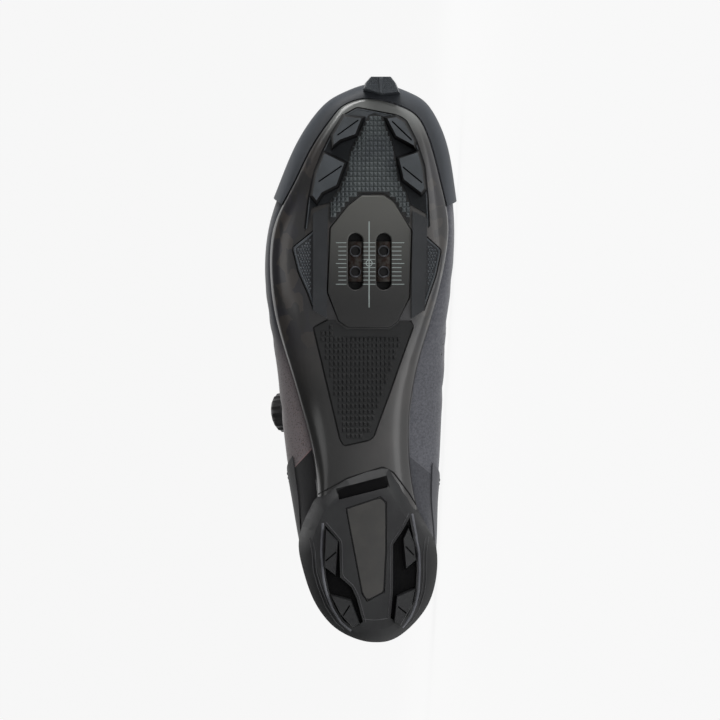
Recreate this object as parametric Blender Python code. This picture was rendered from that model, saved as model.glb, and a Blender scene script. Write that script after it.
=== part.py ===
"""Right cycling shoe with a stiff lugged sole, lying on its medial side.

Every piece is drawn in the standing shoe's frame: x runs from heel to toe, y from the
lateral side (-) to the medial side (+), z up from the plane of the lugs. The whole shoe
is then laid down on its medial side, toe towards +X and sole towards -Y.
"""
import bpy
import bmesh
import numpy as np
from math import cos, floor, pi, sin
from mathutils import Matrix, Vector

MM = 0.001

# Driving sizes of the shoe
LENGTH = 280 * MM
BALL_WIDTH = 95 * MM
HEEL_WIDTH = 69.5 * MM
COLLAR_HEIGHT = 86 * MM
STACK = 14 * MM
WALL = 2.0 * MM
GAP = 0.3 * MM

# Sole
RIM_EDGE = 1.6 * MM
LUG_HEIGHT = 8.2 * MM
LUG_DRAFT = 1.7 * MM
TREAD_BASE = 1.4 * MM
PAD_THICK = 1.6 * MM
INLAY_THICK = 0.7 * MM
WING_BAR_THICK = 3.2 * MM
WING_FLANK_THICK = 1.4 * MM
SIPE_WIDTH = 0.7 * MM
SIPE_DEPTH = 2.0 * MM

# Cleat interface
CLEAT_FACE = 5.6 * MM
CLEAT_LENGTH = 65.3 * MM
CLEAT_WIDTH = 41.9 * MM
CLEAT_THICK = 2.4 * MM
CLEAT_CENTRE = (67.4, 1.3)
SLOT_PITCH = 14.0 * MM
SLOT_WIDTH = 7.4 * MM
SLOT_LENGTH = 28.3 * MM
NUT_PITCH = 10.3 * MM
NUT_DIAMETER = 5.9 * MM
NUT_BORE = 4.3 * MM
NUT_HEIGHT = 1.3 * MM
BAR_THICK = 1.6 * MM
BAR_WIDTH = 9.6 * MM
BAR_LENGTH = 20.0 * MM
PAD_TO_CLEAT = 1.0 * MM

# Heel rubber
HEEL_BASE = 4.0 * MM
HEEL_CUP = 23.0 * MM
HEEL_BEVEL = 7.0 * MM
HEEL_LIFT = 5.4 * MM
LIFT_FROM = 20.5
LIFT_TO = 31.4
POCKET_DEPTH = 3.4 * MM
RECESS_DEPTH = 2.0 * MM
HEEL_INLAY_THICK = 1.6 * MM

# Upper and what lies on and in it
MARGIN = 6.0 * MM
OVERLAY = 0.9 * MM
COUNTER_GAP = 0.5 * MM
GUARD = 1.7 * MM
GUIDE = 1.5 * MM
COLLAR_PAD = 3.0 * MM
TONGUE = 3.5 * MM
TONGUE_CROWNS = ((6.5, 1.5 * MM), (9.0, 1.5 * MM), (10.5, 0.0), (15.0, 0.0))
TONGUE_TOE = (14 * MM, 0.0, -8 * MM)
TONGUE_CLEAR = 0.6 * MM
TONGUE_TAB = (-12 * MM, 0.0, 11 * MM)
TONGUE_TAB_STEPS = ((0.0, 0.84), (0.4, 0.76), (1.0, 0.60))
TONGUE_ENDS = (11.0, 6.5)
TONGUE_SECTIONS = 9
TONGUE_REACH = ((6.5, 0.975), (7.0, 0.93), (8.0, 0.86), (15.0, 0.86))
INSOLE = 3.5 * MM
INSOLE_CLEAR = 0.8 * MM
INSOLE_END = 12.5
WIRE = 1.2 * MM
WIRE_LIFT = 1.6 * MM
WIRE_INSET = 3.0 * MM
WIRE_START = 6.62
WIRE_TURN = 0.13

# Lace dial on the lateral side
DIAL_AT = (6.12, 0.72)
DIAL_BASE_DIAMETER = 25.0 * MM
DIAL_BASE_HEIGHT = 3.6 * MM
DIAL_DIAMETER = 21.0 * MM
DIAL_HEIGHT = 7.0 * MM
DIAL_NOTCHES = 18
DIAL_NOTCH = 0.6 * MM

# Sections from the heel's tip to the toe's tip. Along values are shares of LENGTH, across
# values shares of BALL_WIDTH (lateral minus), all in hundredths. foot is the seam between
# upper and sole, flat the edge of the sole's flat underside, wide the upper's widest line
# and top its collar and throat edge. under and rim are heights in hundredths of STACK.
# wide_rise, top_height: hundredths of COLLAR_HEIGHT. rise, lean and drop shape the curve
# from the widest line to the top edge.
STATION_COLUMNS = ("foot", "foot_lat", "foot_med", "flat_lat", "flat_med", "under", "rim",
                   "wide", "wide_lat", "wide_med", "wide_rise",
                   "top", "top_lat", "top_med", "top_height", "rise", "lean", "drop")
STATIONS = (
    (2.5, 3.2, 3.2, 3.2, 3.2, 86, 121, 0.9, 3.2, 3.2, 20, 3.2, 2.6, 2.6, 100, 40, 30, 35),
    (4.3, -15.8, 21.1, -11.6, 16.8, 75, 121, 2.9, -16.2, 21.1, 20, 5.4, -12.0, 16.3, 98, 40, 30, 35),
    (9.3, -25.8, 31.6, -21.0, 26.3, 68, 121, 7.9, -27.4, 32.2, 20, 9.6, -19.5, 23.2, 92, 40, 32, 35),
    (16.4, -29.5, 32.1, -25.3, 27.4, 68, 122, 15.7, -33.9, 35.9, 19, 15.7, -25.8, 28.4, 82, 38, 35, 35),
    (24.3, -26.3, 25.8, -21.0, 17.9, 76, 129, 24.3, -38.4, 36.4, 18, 22.9, -28.4, 30.5, 74, 38, 38, 32),
    (32.1, -27.7, 22.3, -19.0, 12.1, 96, 143, 32.1, -42.4, 38.5, 17, 30.0, -27.9, 29.5, 79, 40, 42, 28),
    (40.7, -33.5, 22.3, -21.0, 11.6, 104, 150, 40.7, -45.3, 39.7, 17, 37.9, -21.0, 22.1, 100, 45, 45, 20),
    (49.3, -41.0, 26.6, -27.4, 19.5, 82, 136, 49.3, -47.8, 41.0, 16, 46.4, -16.3, 17.4, 104, 46, 45, 14),
    (57.9, -48.1, 34.2, -32.6, 29.0, 60, 114, 57.9, -51.7, 42.4, 15, 54.3, -14.2, 15.3, 97, 46, 45, 14),
    (66.4, -50.9, 40.3, -39.5, 38.5, 50, 100, 66.4, -53.9, 45.2, 14, 61.4, -12.1, 13.2, 87, 46, 45, 15),
    (74.3, -48.6, 42.9, -35.8, 34.7, 50, 100, 74.3, -51.5, 46.1, 14, 67.1, -9.5, 11.0, 79, 46, 45, 18),
    (81.4, -37.8, 38.5, -31.0, 32.6, 61, 109, 81.8, -43.8, 43.9, 12, 70.7, -6.3, 8.4, 74.5, 45, 45, 22),
    (87.9, -28.8, 33.8, -23.7, 28.9, 89, 132, 88.9, -35.0, 40.2, 11, 72.1, -3.2, 5.8, 72.5, 44, 45, 26),
    (93.2, -17.9, 27.0, -14.2, 22.1, 118, 154, 94.8, -23.0, 32.1, 10, 72.7, -0.5, 3.7, 72, 44, 45, 28),
    (95.4, -11.9, 15.3, -7.4, 12.6, 132, 164, 97.3, -12.1, 22.6, 10, 72.9, 0.3, 2.9, 72, 44, 45, 30),
    (96.6, 0.5, 0.5, 0.0, 0.0, 139, 168, 99.2, 4.2, 4.2, 10, 73.0, 1.6, 1.6, 72, 44, 45, 30),
)
TIP = len(STATIONS) - 1
RING = 2 * TIP
FLAT_SHRINK = 0.985
HEEL_TO_BALL = 0.7316
GRADE_FROM = 32
GRADE_TO = 55

# Marks along a profile: end of the margin, widest line
FOOT_MARK = 0.10
WIDE_MARK = 0.40
PROFILE_STEPS = (0.0, 0.10, 0.18, 0.26, 0.33, 0.40, 0.50, 0.60, 0.70, 0.80, 0.90, 1.0)
ROUND = 0.55
MARK_APART = 0.015

# Outlines on the underside, as (along, across) in hundredths of LENGTH and BALL_WIDTH
FRAME = ((72.8, -32.3), (78.2, -30.3), (83.0, -27.3), (87.0, -22.8), (90.1, -18.3), (93.3, -12.3),
         (94.7, -5.3), (93.3, 15.8), (92.5, 20.0), (88.7, 25.5), (84.3, 29.6), (78.2, 31.3),
         (73.4, 32.4), (73.6, 31.9), (75.6, 31.9), (77.3, 23.6), (77.8, -20.0), (76.9, -28.6), (73.2, -31.9))
PAD = ((93.4, 1.4), (93.7, 4.0), (93.1, 8.4), (88.3, 13.2), (85.7, 14.9), (82.1, 16.1), (79.6, 20.1),
       (77.4, 22.4), (74.3, 22.2), (74.3, -19.2), (78.0, -19.2), (79.9, -15.3), (83.0, -10.7),
       (86.8, -8.7), (90.1, -4.2), (92.9, 0.2))
CLEAT_SHAPE = ((1.0, -0.18), (1.0, 0.34), (0.90, 0.57), (0.46, 1.0), (-0.54, 0.95), (-0.91, 0.66),
               (-1.0, 0.47), (-1.0, -0.52), (-0.91, -0.73), (-0.46, -1.0), (0.51, -0.93), (0.84, -0.52))
WING_BARS = {
    "lateral": ((77.1, -20.4), (57.4, -20.9), (58.7, -28.2), (75.9, -28.2)),
    "medial": ((76.3, 23.6), (75.0, 31.4), (58.8, 29.9), (57.3, 23.0)),
}
WING_FLANKS = {
    "lateral": ((72.8, -27.5), (69.8, -38.6), (65.6, -35.6), (61.8, -30.6), (58.9, -27.5)),
    "medial": ((71.9, 30.0), (69.4, 38.3), (65.0, 35.6), (58.8, 29.2)),
}
ARCH = ((55.7, -27.6), (51.9, -24.9), (46.6, -21.2), (41.3, -17.5), (36.0, -13.8), (34.9, -12.0),
        (35.9, 1.1), (36.5, 3.3), (39.3, 6.2), (45.1, 12.5), (50.4, 17.9), (56.1, 24.0),
        (56.9, 22.3), (57.0, -20.3))

# Forefoot lugs: top outline, then the two ends of the sipe
LUGS = (
    (((92.7, -3.0), (89.9, -6.2), (88.9, -14.2), (88.0, -17.4), (89.6, -17.6), (93.0, -12.0)),
     ((92.4, -4.6), (89.7, -15.4))),
    (((84.7, -11.9), (80.8, -16.0), (79.5, -23.6), (78.1, -26.2), (79.0, -28.4), (83.0, -26.2),
      (86.4, -22.0)), ((84.2, -13.2), (81.4, -25.2))),
    (((92.7, 10.6), (89.6, 15.2), (87.9, 24.2), (88.6, 24.4), (92.0, 19.2), (92.9, 15.0)),
     ((92.2, 13.0), (88.8, 23.2))),
    (((85.5, 16.7), (81.8, 19.2), (79.5, 28.0), (80.2, 29.7), (84.0, 28.4), (86.6, 26.2)),
     ((84.0, 18.6), (81.2, 28.6))),
)

# Heel rubber: outline with the height of its lower edge in hundredths of STACK
HEEL_EDGE = (
    (0.0, 4.2, 86), (0.5, -4.9, 86), (2.7, -17.6, 86), (7.4, -28.0, 86), (13.2, -33.7, 86),
    (17.1, -35.9, 90), (20.4, -34.2, 102), (23.9, -29.5, 106), (26.1, -25.0, 92), (28.9, -10.3, 70),
    (30.9, 8.4, 76), (30.0, 13.4, 78), (26.1, 21.9, 92), (20.7, 31.0, 106), (16.8, 36.4, 90),
    (11.4, 36.2, 86), (6.5, 31.8, 86), (2.6, 22.4, 86), (0.4, 13.1, 86),
)
HEEL_RECESS = ((27.2, -15.4), (25.3, -14.7), (27.5, 10.7), (29.5, 10.7))
HEEL_INLAY = ((23.8, -10.7), (25.8, 6.8), (24.9, 10.0), (16.2, 10.0), (9.1, 8.9), (7.5, 0.0),
              (8.8, -2.6), (23.0, -10.5))
HEEL_POCKETS = (
    ((21.2, -22.1), (18.0, -14.0), (11.8, -13.5), (10.0, -7.6), (8.0, -4.9), (3.7, -1.5), (2.5, -7.6),
     (3.9, -12.6), (6.3, -16.9), (9.1, -20.3), (11.4, -21.7), (16.2, -22.9)),
    ((22.7, 22.4), (19.5, 17.1), (17.6, 13.0), (8.9, 12.9), (4.4, 11.6), (3.0, 17.7), (4.9, 21.8),
     (6.8, 24.1), (9.4, 25.8), (12.8, 26.4), (16.0, 26.1), (18.6, 24.6)),
)
HEEL_LUGS = (
    (((20.0, -21.2), (18.0, -15.4), (12.2, -16.6), (13.6, -22.0)), ((16.2, -16.0), (14.6, -21.6))),
    (((8.5, -18.4), (7.6, -8.6), (3.6, -4.2), (3.0, -7.4), (5.2, -13.6)), ((6.8, -9.0), (5.0, -12.4))),
    (((20.2, 21.4), (18.4, 19.0), (13.4, 20.4), (14.8, 25.2), (17.6, 24.2)), ((17.2, 20.0), (15.6, 24.4))),
    (((8.3, 15.7), (9.6, 24.6), (6.6, 22.8), (3.4, 17.4), (3.9, 14.3)), ((6.6, 16.0), (5.4, 20.4))),
)

# Toe stud under the guard's tip
STUD = ((100.2, 2.4), (100.2, 12.1), (99.2, 14.4), (97.6, 16.4), (97.2, 7.7), (98.2, -1.2), (99.2, -0.2))
STUD_FOOT = 92

# Bands on the upper, by place round the ring (heel tip 0, lateral plus) and share of the profile
COUNTER_ENDS = (-4.95, 5.1)
COUNTER_SLANT = (0.9, -0.95)
COUNTER_LOW = ((0, 0.30), (3.2, 0.30), (3.6, 0.28), (4.0, 0.26), (6.0, 0.26))
COUNTER_HIGH = ((0, 0.80), (3.0, 0.78), (4.5, 0.66), (6.0, 0.60))
GUARD_ENDS = (10.45, 19.6)
GUARD_SLANT = (0.25, -0.2)
GUARD_SPAN = (0.115, 0.56)
EYESTAY_ENDS = (6.35, 23.65)
EYESTAY_SPAN = ((0, 0.93), (5, 0.90), (8, 0.84), (15, 0.80))
GUIDE_PLACES = (7.0, 8.35, 9.6)
GUIDE_STAGGER = 0.6
GUIDE_HALF = 0.2
GUIDE_SPAN = (0.90, 0.982)
EDGE_MARK = 0.985
PAD_ENDS = 5.5
PAD_SPAN = (0.74, 0.985)

MATERIALS = {
    "carbon": ((0.055, 0.055, 0.057), 0.28, 0.0),
    "rubber": ((0.062, 0.070, 0.075), 0.62, 0.0),
    "guard": ((0.065, 0.072, 0.080), 0.50, 0.0),
    "plate": ((0.050, 0.050, 0.050), 0.35, 0.0),
    "nut_steel": ((0.16, 0.13, 0.11), 0.38, 1.0),
    "upper_skin": ((0.090, 0.092, 0.105), 0.70, 0.0),
    "panel": ((0.045, 0.045, 0.048), 0.55, 0.0),
    "lining": ((0.035, 0.035, 0.038), 0.90, 0.0),
    "dial_plastic": ((0.020, 0.020, 0.022), 0.40, 0.0),
    "lace": ((0.030, 0.030, 0.032), 0.50, 0.0),
}


def material(slot):
    """The Principled material of one slot."""
    found = bpy.data.materials.get(slot)
    if found:
        return found
    colour, roughness, metallic = MATERIALS[slot]
    made = bpy.data.materials.new(slot)
    made.use_nodes = True
    shader = made.node_tree.nodes["Principled BSDF"]
    shader.inputs["Base Color"].default_value = (*colour, 1)
    shader.inputs["Roughness"].default_value = roughness
    shader.inputs["Metallic"].default_value = metallic
    return made


def piece(name, bm, slot=None):
    """A mesh object made from bm, closed up and facing outwards."""
    bmesh.ops.remove_doubles(bm, verts=bm.verts, dist=0.02 * MM)
    bmesh.ops.dissolve_degenerate(bm, edges=bm.edges, dist=0.01 * MM)
    bmesh.ops.recalc_face_normals(bm, faces=bm.faces)
    mesh = bpy.data.meshes.new(name)
    bm.to_mesh(mesh)
    bm.free()
    made = bpy.data.objects.new(name, mesh)
    bpy.context.scene.collection.objects.link(made)
    if slot:
        mesh.materials.append(material(slot))
    else:
        made.hide_render = True
        made.display_type = "WIRE"
    return made


def combine(base, other, operation):
    """Boolean of base with a guide object."""
    cut = base.modifiers.new(operation.lower(), "BOOLEAN")
    cut.operation = operation
    cut.object = other


def grade(along):
    """How much wider or narrower than drawn the shoe is at a place along it."""
    share = min(max((along - GRADE_FROM) / (GRADE_TO - GRADE_FROM), 0), 1)
    heel = HEEL_WIDTH / (HEEL_TO_BALL * BALL_WIDTH)
    return heel + (1 - heel) * share


def spot(along, across):
    """Plan position from shares of the length and the ball's width."""
    return Vector((along / 100 * LENGTH, across / 100 * BALL_WIDTH * grade(along), 0))


def ring_points(row_values):
    """Values for the closed ring: lateral side from the heel to the toe, medial side back."""
    return np.array([row_values(k, "lat") for k in range(TIP + 1)]
                    + [row_values(k, "med") for k in range(TIP - 1, 0, -1)])


def cell(k, column):
    """One value of the table of sections."""
    return STATIONS[k][STATION_COLUMNS.index(column)]


def foot_row(k, side):
    place = spot(cell(k, "foot"), cell(k, "foot_" + side))
    return (place.x, place.y, cell(k, "rim") / 100 * STACK)


def flat_row(k, side):
    place = spot(cell(k, "foot"), cell(k, "flat_" + side))
    middle = LENGTH / 2
    return (middle + (place.x - middle) * FLAT_SHRINK, place.y, cell(k, "under") / 100 * STACK)


def wide_row(k, side):
    place = spot(cell(k, "wide"), cell(k, "wide_" + side))
    height = cell(k, "rim") / 100 * STACK + cell(k, "wide_rise") / 100 * COLLAR_HEIGHT
    return (place.x, place.y, height)


def top_row(k, side):
    place = spot(cell(k, "top"), cell(k, "top_" + side))
    return (place.x, place.y, cell(k, "top_height") / 100 * COLLAR_HEIGHT)


def shape_row(k, side):
    return (cell(k, "rise") / 100, cell(k, "lean") / 100, cell(k, "drop") / 100)


FOOT = ring_points(foot_row)
FLAT = ring_points(flat_row)
WIDE = ring_points(wide_row)
TOP = ring_points(top_row)
SHAPE = ring_points(shape_row)


def smooth(rows, at):
    """A closed curve through the rows, at a fractional row number."""
    i = floor(at)
    f = at - i
    a, b, c, d = (rows[(i + step) % len(rows)] for step in (-1, 0, 1, 2))
    return 0.5 * (2 * b + (c - a) * f + (2 * a - 5 * b + 4 * c - d) * f ** 2
                  + (3 * b - a - 3 * c + d) * f ** 3)


def bezier(points, t):
    a, b, c, d = points
    return (1 - t) ** 3 * a + 3 * (1 - t) ** 2 * t * b + 3 * (1 - t) * t ** 2 * c + t ** 3 * d


def skin(at, mark, off=0.0):
    """A point of the upper's outer form, moved outwards by off.

    at is the place round the ring and mark the share of the profile, from the inner end
    of the lasting margin (0) past the seam and the widest line to the top edge (1).
    """
    up = np.array((0.0, 0.0, 1.0))
    foot = smooth(FOOT, at) + up * GAP
    wide = smooth(WIDE, at)
    top = smooth(TOP, at)
    rise, lean, drop = smooth(SHAPE, at)
    out = (wide - foot) * (1, 1, 0)
    out /= np.linalg.norm(out)
    if mark <= FOOT_MARK:
        inner = foot - out * MARGIN
        return inner + (foot - inner) * mark / FOOT_MARK - up * off
    flat_reach = (wide - foot) * (1, 1, 0)
    if mark <= WIDE_MARK:
        height = up * (wide[2] - foot[2])
        points = (foot - up * off, foot + flat_reach * ROUND - up * off,
                  wide - height * ROUND + out * off, wide + out * off)
        return bezier(points, (mark - FOOT_MARK) / (WIDE_MARK - FOOT_MARK))
    climb = up * (top[2] - wide[2])
    inward = (top - wide) * (1, 1, 0)
    before = wide + inward * lean + climb * (1 - drop)
    along = (top - before) / np.linalg.norm(top - before)
    flat_in = inward / max(np.linalg.norm(inward), MM)
    normal = up * np.dot(along, flat_in) - flat_in * along[2]
    points = (wide + out * off, wide + climb * rise + out * off, before + normal * off, top + normal * off)
    return bezier(points, (mark - WIDE_MARK) / (1 - WIDE_MARK))


def lerp_table(rows, at):
    """Value at a distance from the heel's tip, from rows of (distance, value)."""
    places, values = zip(*rows)
    return float(np.interp(min(abs(at), RING - abs(at)), places, values))


def loft(loops, closed_ring=False, caps=(True, True), folded=False):
    """A bmesh that joins closed loops of equal length, with the end loops filled.

    The second half of each loop runs back along the first, so its faces are split along
    the other diagonal and the two sides of a wall keep parallel facets.
    """
    bm = bmesh.new()
    rows = [[bm.verts.new(p) for p in loop] for loop in loops]
    pairs = list(zip(rows, rows[1:]))
    if closed_ring:
        pairs.append((rows[-1], rows[0]))
    for first, second in pairs:
        count = len(first)
        for i in range(count):
            j = (i + 1) % count
            if i < count // 2:
                bm.faces.new((first[i], first[j], second[j]))
                bm.faces.new((first[i], second[j], second[i]))
            else:
                bm.faces.new((first[i], first[j], second[i]))
                bm.faces.new((first[j], second[j], second[i]))
    for row, wanted in ((rows[0], caps[0]), (rows[-1], caps[1])):
        if wanted and folded:
            close_fold(bm, row)
        elif wanted:
            bm.faces.new(row)
    return bm


def close_fold(bm, row):
    """Fill an end loop whose second half runs back along its first, rung by rung."""
    back = row[::-1]
    for i in range(len(row) // 2 - 1):
        bm.faces.new((row[i], row[i + 1], back[i + 1]))
        bm.faces.new((row[i], back[i + 1], back[i]))


def halves(steps_per_row=2):
    """Places from the heel's tip to the toe's tip, each with a lateral and a medial twin."""
    return [k / steps_per_row for k in range(TIP * steps_per_row + 1)]


def upper_shell():
    """The lasted shell: outer form and inner wall, closed along margin and top edge."""
    loops = []
    for i in range(2 * RING):
        outer = [skin(i / 2, mark) for mark in PROFILE_STEPS]
        inner = [skin(i / 2, mark, -WALL) for mark in reversed(PROFILE_STEPS)]
        loops.append(outer + inner)
    return piece("upper", loft(loops, closed_ring=True, caps=(False, False)), "upper_skin")


def last_form(off, name):
    """The whole space inside the upper's outer form, moved out by off, as a cutter."""
    marks = [mark for mark in PROFILE_STEPS if mark >= FOOT_MARK]
    loops = []
    for at in halves():
        lateral = [skin(at, mark, off) for mark in marks]
        medial = [skin(RING - at, mark, off) for mark in reversed(marks)]
        loops.append(lateral + medial)
    return piece(name, loft(loops, caps=(False, False)))


def band(name, slot, ends, span, offs, slant=(0, 0)):
    """A panel that follows the upper's form, from one offset to another.

    ends are its places round the ring and slant how far they lean from the low edge to the
    high edge. span holds those edges as functions of the place. The mesh keeps the upper's
    own sections and marks, so the facets of neighbours lie parallel.
    """
    first, last = ends[0] + min(slant[0], 0), ends[1] + max(slant[1], 0)
    count = int(round(2 * (last - first))) + 2
    nominal = [floor(2 * first) / 2 + i / 2 for i in range(count + 1)]
    limits = [(ends[0] + slant[0] * t, ends[1] + slant[1] * t) for t in (0, 1)]
    edges = [[edge(min(max(at, a), b)) for edge, (a, b) in zip(span, limits)] for at in nominal]
    lowest, highest = max(e[0] for e in edges), min(e[1] for e in edges)
    kept = [mark for mark in PROFILE_STEPS if lowest < mark - MARK_APART and mark + MARK_APART < highest]
    rungs = 3 if max(e[1] for e in edges) > highest else 1
    loops = []
    for at, (low, high) in zip(nominal, edges):
        before = kept[-1] if kept else low
        marks = [low, *kept, *(before + (high - before) * (i + 1) / rungs for i in range(rungs))]
        places = []
        for mark in marks:
            t = (mark - low) / (high - low)
            places.append(min(max(at, ends[0] + slant[0] * t), ends[1] + slant[1] * t))
        lower = [skin(p, m, offs[0]) for p, m in zip(places, marks)]
        upper = [skin(p, m, offs[1]) for p, m in zip(places, marks)]
        loops.append(lower + list(reversed(upper)))
    return piece(name, loft(loops, folded=True), slot)


def level(value):
    """An edge that stays on one share of the profile."""
    return lambda at: value


def bevel_points(edge, flat, count=3):
    """Rounded step from the rim's lower edge down to the flat underside."""
    down = (edge - flat) * (0, 0, 1)
    inward = (flat - edge) * (1, 1, 0)
    corners = (edge, edge - down * ROUND, flat - inward * ROUND, flat)
    return [bezier(corners, (i + 1) / (count + 1)) for i in range(count)]


def plate_form(name, slot, grow=0.0):
    """Stiff sole: flat underside, rounded bevels to the rim, flat top."""
    up = np.array((0.0, 0.0, 1.0))
    loops = []
    for at in halves():
        sides = []
        for place in (at, RING - at):
            rim = smooth(FOOT, place)
            flat = smooth(FLAT, place) - up * grow
            toward = smooth(WIDE, place) - rim
            toward = toward * (1, 1, 0) / np.linalg.norm(toward[:2])
            rim = rim + toward * grow
            edge = rim - up * (RIM_EDGE + grow)
            sides.append([rim + up * grow, edge] + bevel_points(edge, flat) + [flat])
        loops.append(sides[0] + list(reversed(sides[1])))
    return piece(name, loft(loops, caps=(False, False)), slot)


def underside_knots():
    """Places along the sole, with the underside's height, where its mesh has sections."""
    knots = [smooth(FLAT, at) for at in halves()]
    return [(k[0], k[2]) for k in knots]


KNOTS = underside_knots()


def under_at(x):
    return float(np.interp(x, [k[0] for k in KNOTS], [k[1] for k in KNOTS]))


def grown(points, by):
    """A plan outline moved outwards by a distance, corner by corner."""
    count = len(points)
    area = sum(points[i].x * points[(i + 1) % count].y - points[(i + 1) % count].x * points[i].y
               for i in range(count))
    sign = 1 if area > 0 else -1
    moved = []
    for i, here in enumerate(points):
        into = (here - points[i - 1]).normalized()
        onward = (points[(i + 1) % count] - here).normalized()
        normal = Vector((into.y + onward.y, -into.x - onward.x, 0)) * sign
        normal.normalize()
        spread = max(abs(normal.dot(Vector((into.y, -into.x, 0)))), 0.5)
        moved.append(here + normal * (by / spread))
    return moved


def prism(name, points, low, high, slot=None, draft=0.0):
    """A plan outline raised from low to high, wider at the top by the draft."""
    lower = [p + Vector((0, 0, low)) for p in points]
    upper = [p + Vector((0, 0, high)) for p in grown(points, draft)]
    return piece(name, loft([lower, upper]), slot)


def drop_offcuts(bm):
    """Delete the slivers that a cut leaves loose beside the main body."""
    left = set(bm.verts)
    bodies = []
    while left:
        body, front = set(), [left.pop()]
        while front:
            here = front.pop()
            body.add(here)
            nearby = {edge.other_vert(here) for edge in here.link_edges} & left
            left -= nearby
            front += nearby
        bodies.append(body)
    bodies.sort(key=len)
    for body in bodies[:-1]:
        bmesh.ops.delete(bm, geom=list(body), context="VERTS")


def settled(name, slot):
    """The evaluated result of an object with its booleans, as a plain mesh object."""
    source = bpy.data.objects[name]
    bpy.context.view_layer.update()
    graph = bpy.context.evaluated_depsgraph_get()
    bm = bmesh.new()
    bm.from_object(source, graph)
    bpy.data.objects.remove(source)
    drop_offcuts(bm)
    bmesh.ops.triangulate(bm, faces=[f for f in bm.faces if len(f.verts) > 4])
    made = piece(name, bm, slot)
    made.name = name
    return made


def draped(name, slot, floor_at_ground=False):
    """Bend a flat piece along the sole's underside: its z becomes depth below the sole."""
    made = settled(name, slot)
    bm = bmesh.new()
    bm.from_mesh(made.data)
    low = min(v.co.x for v in bm.verts)
    high = max(v.co.x for v in bm.verts)
    for x, _ in KNOTS:
        if low + MM < x < high - MM:
            geometry = bm.verts[:] + bm.edges[:] + bm.faces[:]
            bmesh.ops.bisect_plane(bm, geom=geometry, dist=1e-6, plane_co=(x, 0, 0), plane_no=(1, 0, 0))
    bmesh.ops.triangulate(bm, faces=[f for f in bm.faces if len(f.verts) > 4])
    for v in bm.verts:
        v.co.z += under_at(v.co.x)
        if floor_at_ground:
            v.co.z = max(v.co.z, 0)
    bm.to_mesh(made.data)
    bm.free()
    return made


def guide_prism(name, points, low, high, draft=0.0):
    return prism("guide_" + name, points, low, high, None, draft)


def spots(outline):
    return [spot(*row[:2]) for row in outline]


def sipe(name, ends, top, low):
    """A thin cutter along a line on a lug's tread face."""
    start, end = (spot(*e) for e in ends)
    side = Vector((start.y - end.y, end.x - start.x, 0)).normalized() * SIPE_WIDTH / 2
    return guide_prism(name, [start + side, end + side, end - side, start - side], low, top)


def cleat_outline(extra=0.0):
    """The cleat plate's outline round its centre, moved out by extra."""
    centre = spot(*CLEAT_CENTRE)
    half = (CLEAT_LENGTH / 2, CLEAT_WIDTH / 2)
    points = [centre + Vector((u * half[0], v * half[1], 0)) for u, v in CLEAT_SHAPE]
    return grown(points, extra) if extra else points


def slot_outline(side, extra=0.0):
    """A long slot with round ends, on one side of the cleat plate's centre line."""
    centre = spot(*CLEAT_CENTRE) + Vector((0, side * SLOT_PITCH / 2, 0))
    radius = SLOT_WIDTH / 2 + extra
    straight = (SLOT_LENGTH - SLOT_WIDTH) / 2
    points = []
    for end, start in ((1, -pi / 2), (-1, pi / 2)):
        for i in range(7):
            angle = start + pi * i / 6
            points.append(centre + Vector((end * straight + radius * cos(angle), radius * sin(angle), 0)))
    return points


def sole_plate():
    """Stiff plate with the well that the cleat plate and its bars sit in."""
    plate = plate_form("sole_plate", "carbon")
    depth = CLEAT_FACE + CLEAT_THICK + BAR_THICK + 2 * GAP
    well = guide_prism("well", cleat_outline(GAP), 0, depth)
    combine(plate, well, "DIFFERENCE")
    return settled("sole_plate", "carbon")


def forefoot_tread():
    """Rubber frame with four lugs, moulded in one."""
    tread = prism("forefoot_tread", spots(FRAME), -GAP - TREAD_BASE, -GAP, "rubber")
    combine(tread, guide_prism("cleat_room", cleat_outline(PAD_TO_CLEAT), -1, 1), "DIFFERENCE")
    for number, (outline, ends) in enumerate(LUGS, 1):
        lug = guide_prism(f"lug_{number}", spots(outline), -LUG_HEIGHT, -GAP - TREAD_BASE / 2, LUG_DRAFT)
        combine(tread, lug, "UNION")
    for number, (outline, ends) in enumerate(LUGS, 1):
        cut = sipe(f"sipe_{number}", ends, -LUG_HEIGHT + SIPE_DEPTH, -LUG_HEIGHT - MM)
        combine(tread, cut, "DIFFERENCE")
    combine(tread, guide_prism("pad_clear", grown(spots(PAD), GAP), -GAP - PAD_THICK * 2, 1), "DIFFERENCE")
    return draped("forefoot_tread", "rubber", floor_at_ground=True)


def underside_panels():
    """Grip pad, side wings and the arch's tapered inlay."""
    pad = prism("front_grip_pad", spots(PAD), -GAP - PAD_THICK, -GAP, "rubber")
    room = guide_prism("pad_cleat_room", cleat_outline(PAD_TO_CLEAT), -1, 1)
    combine(pad, room, "DIFFERENCE")
    draped("front_grip_pad", "rubber")
    for side, bar in WING_BARS.items():
        name = "wing_" + side
        wing = prism(name, spots(bar), -GAP - WING_BAR_THICK, -GAP, "rubber")
        flank = guide_prism(name + "_flank", spots(WING_FLANKS[side]), -GAP - WING_FLANK_THICK, -GAP)
        combine(wing, flank, "UNION")
        combine(wing, guide_prism(name + "_room", cleat_outline(GAP), -1, 1), "DIFFERENCE")
        draped(name, "rubber")
    inlay = prism("arch_inlay", spots(ARCH), -GAP - INLAY_THICK, -GAP, "rubber")
    combine(inlay, guide_prism("arch_room", cleat_outline(PAD_TO_CLEAT), -1, 1), "DIFFERENCE")
    draped("arch_inlay", "rubber")


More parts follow.
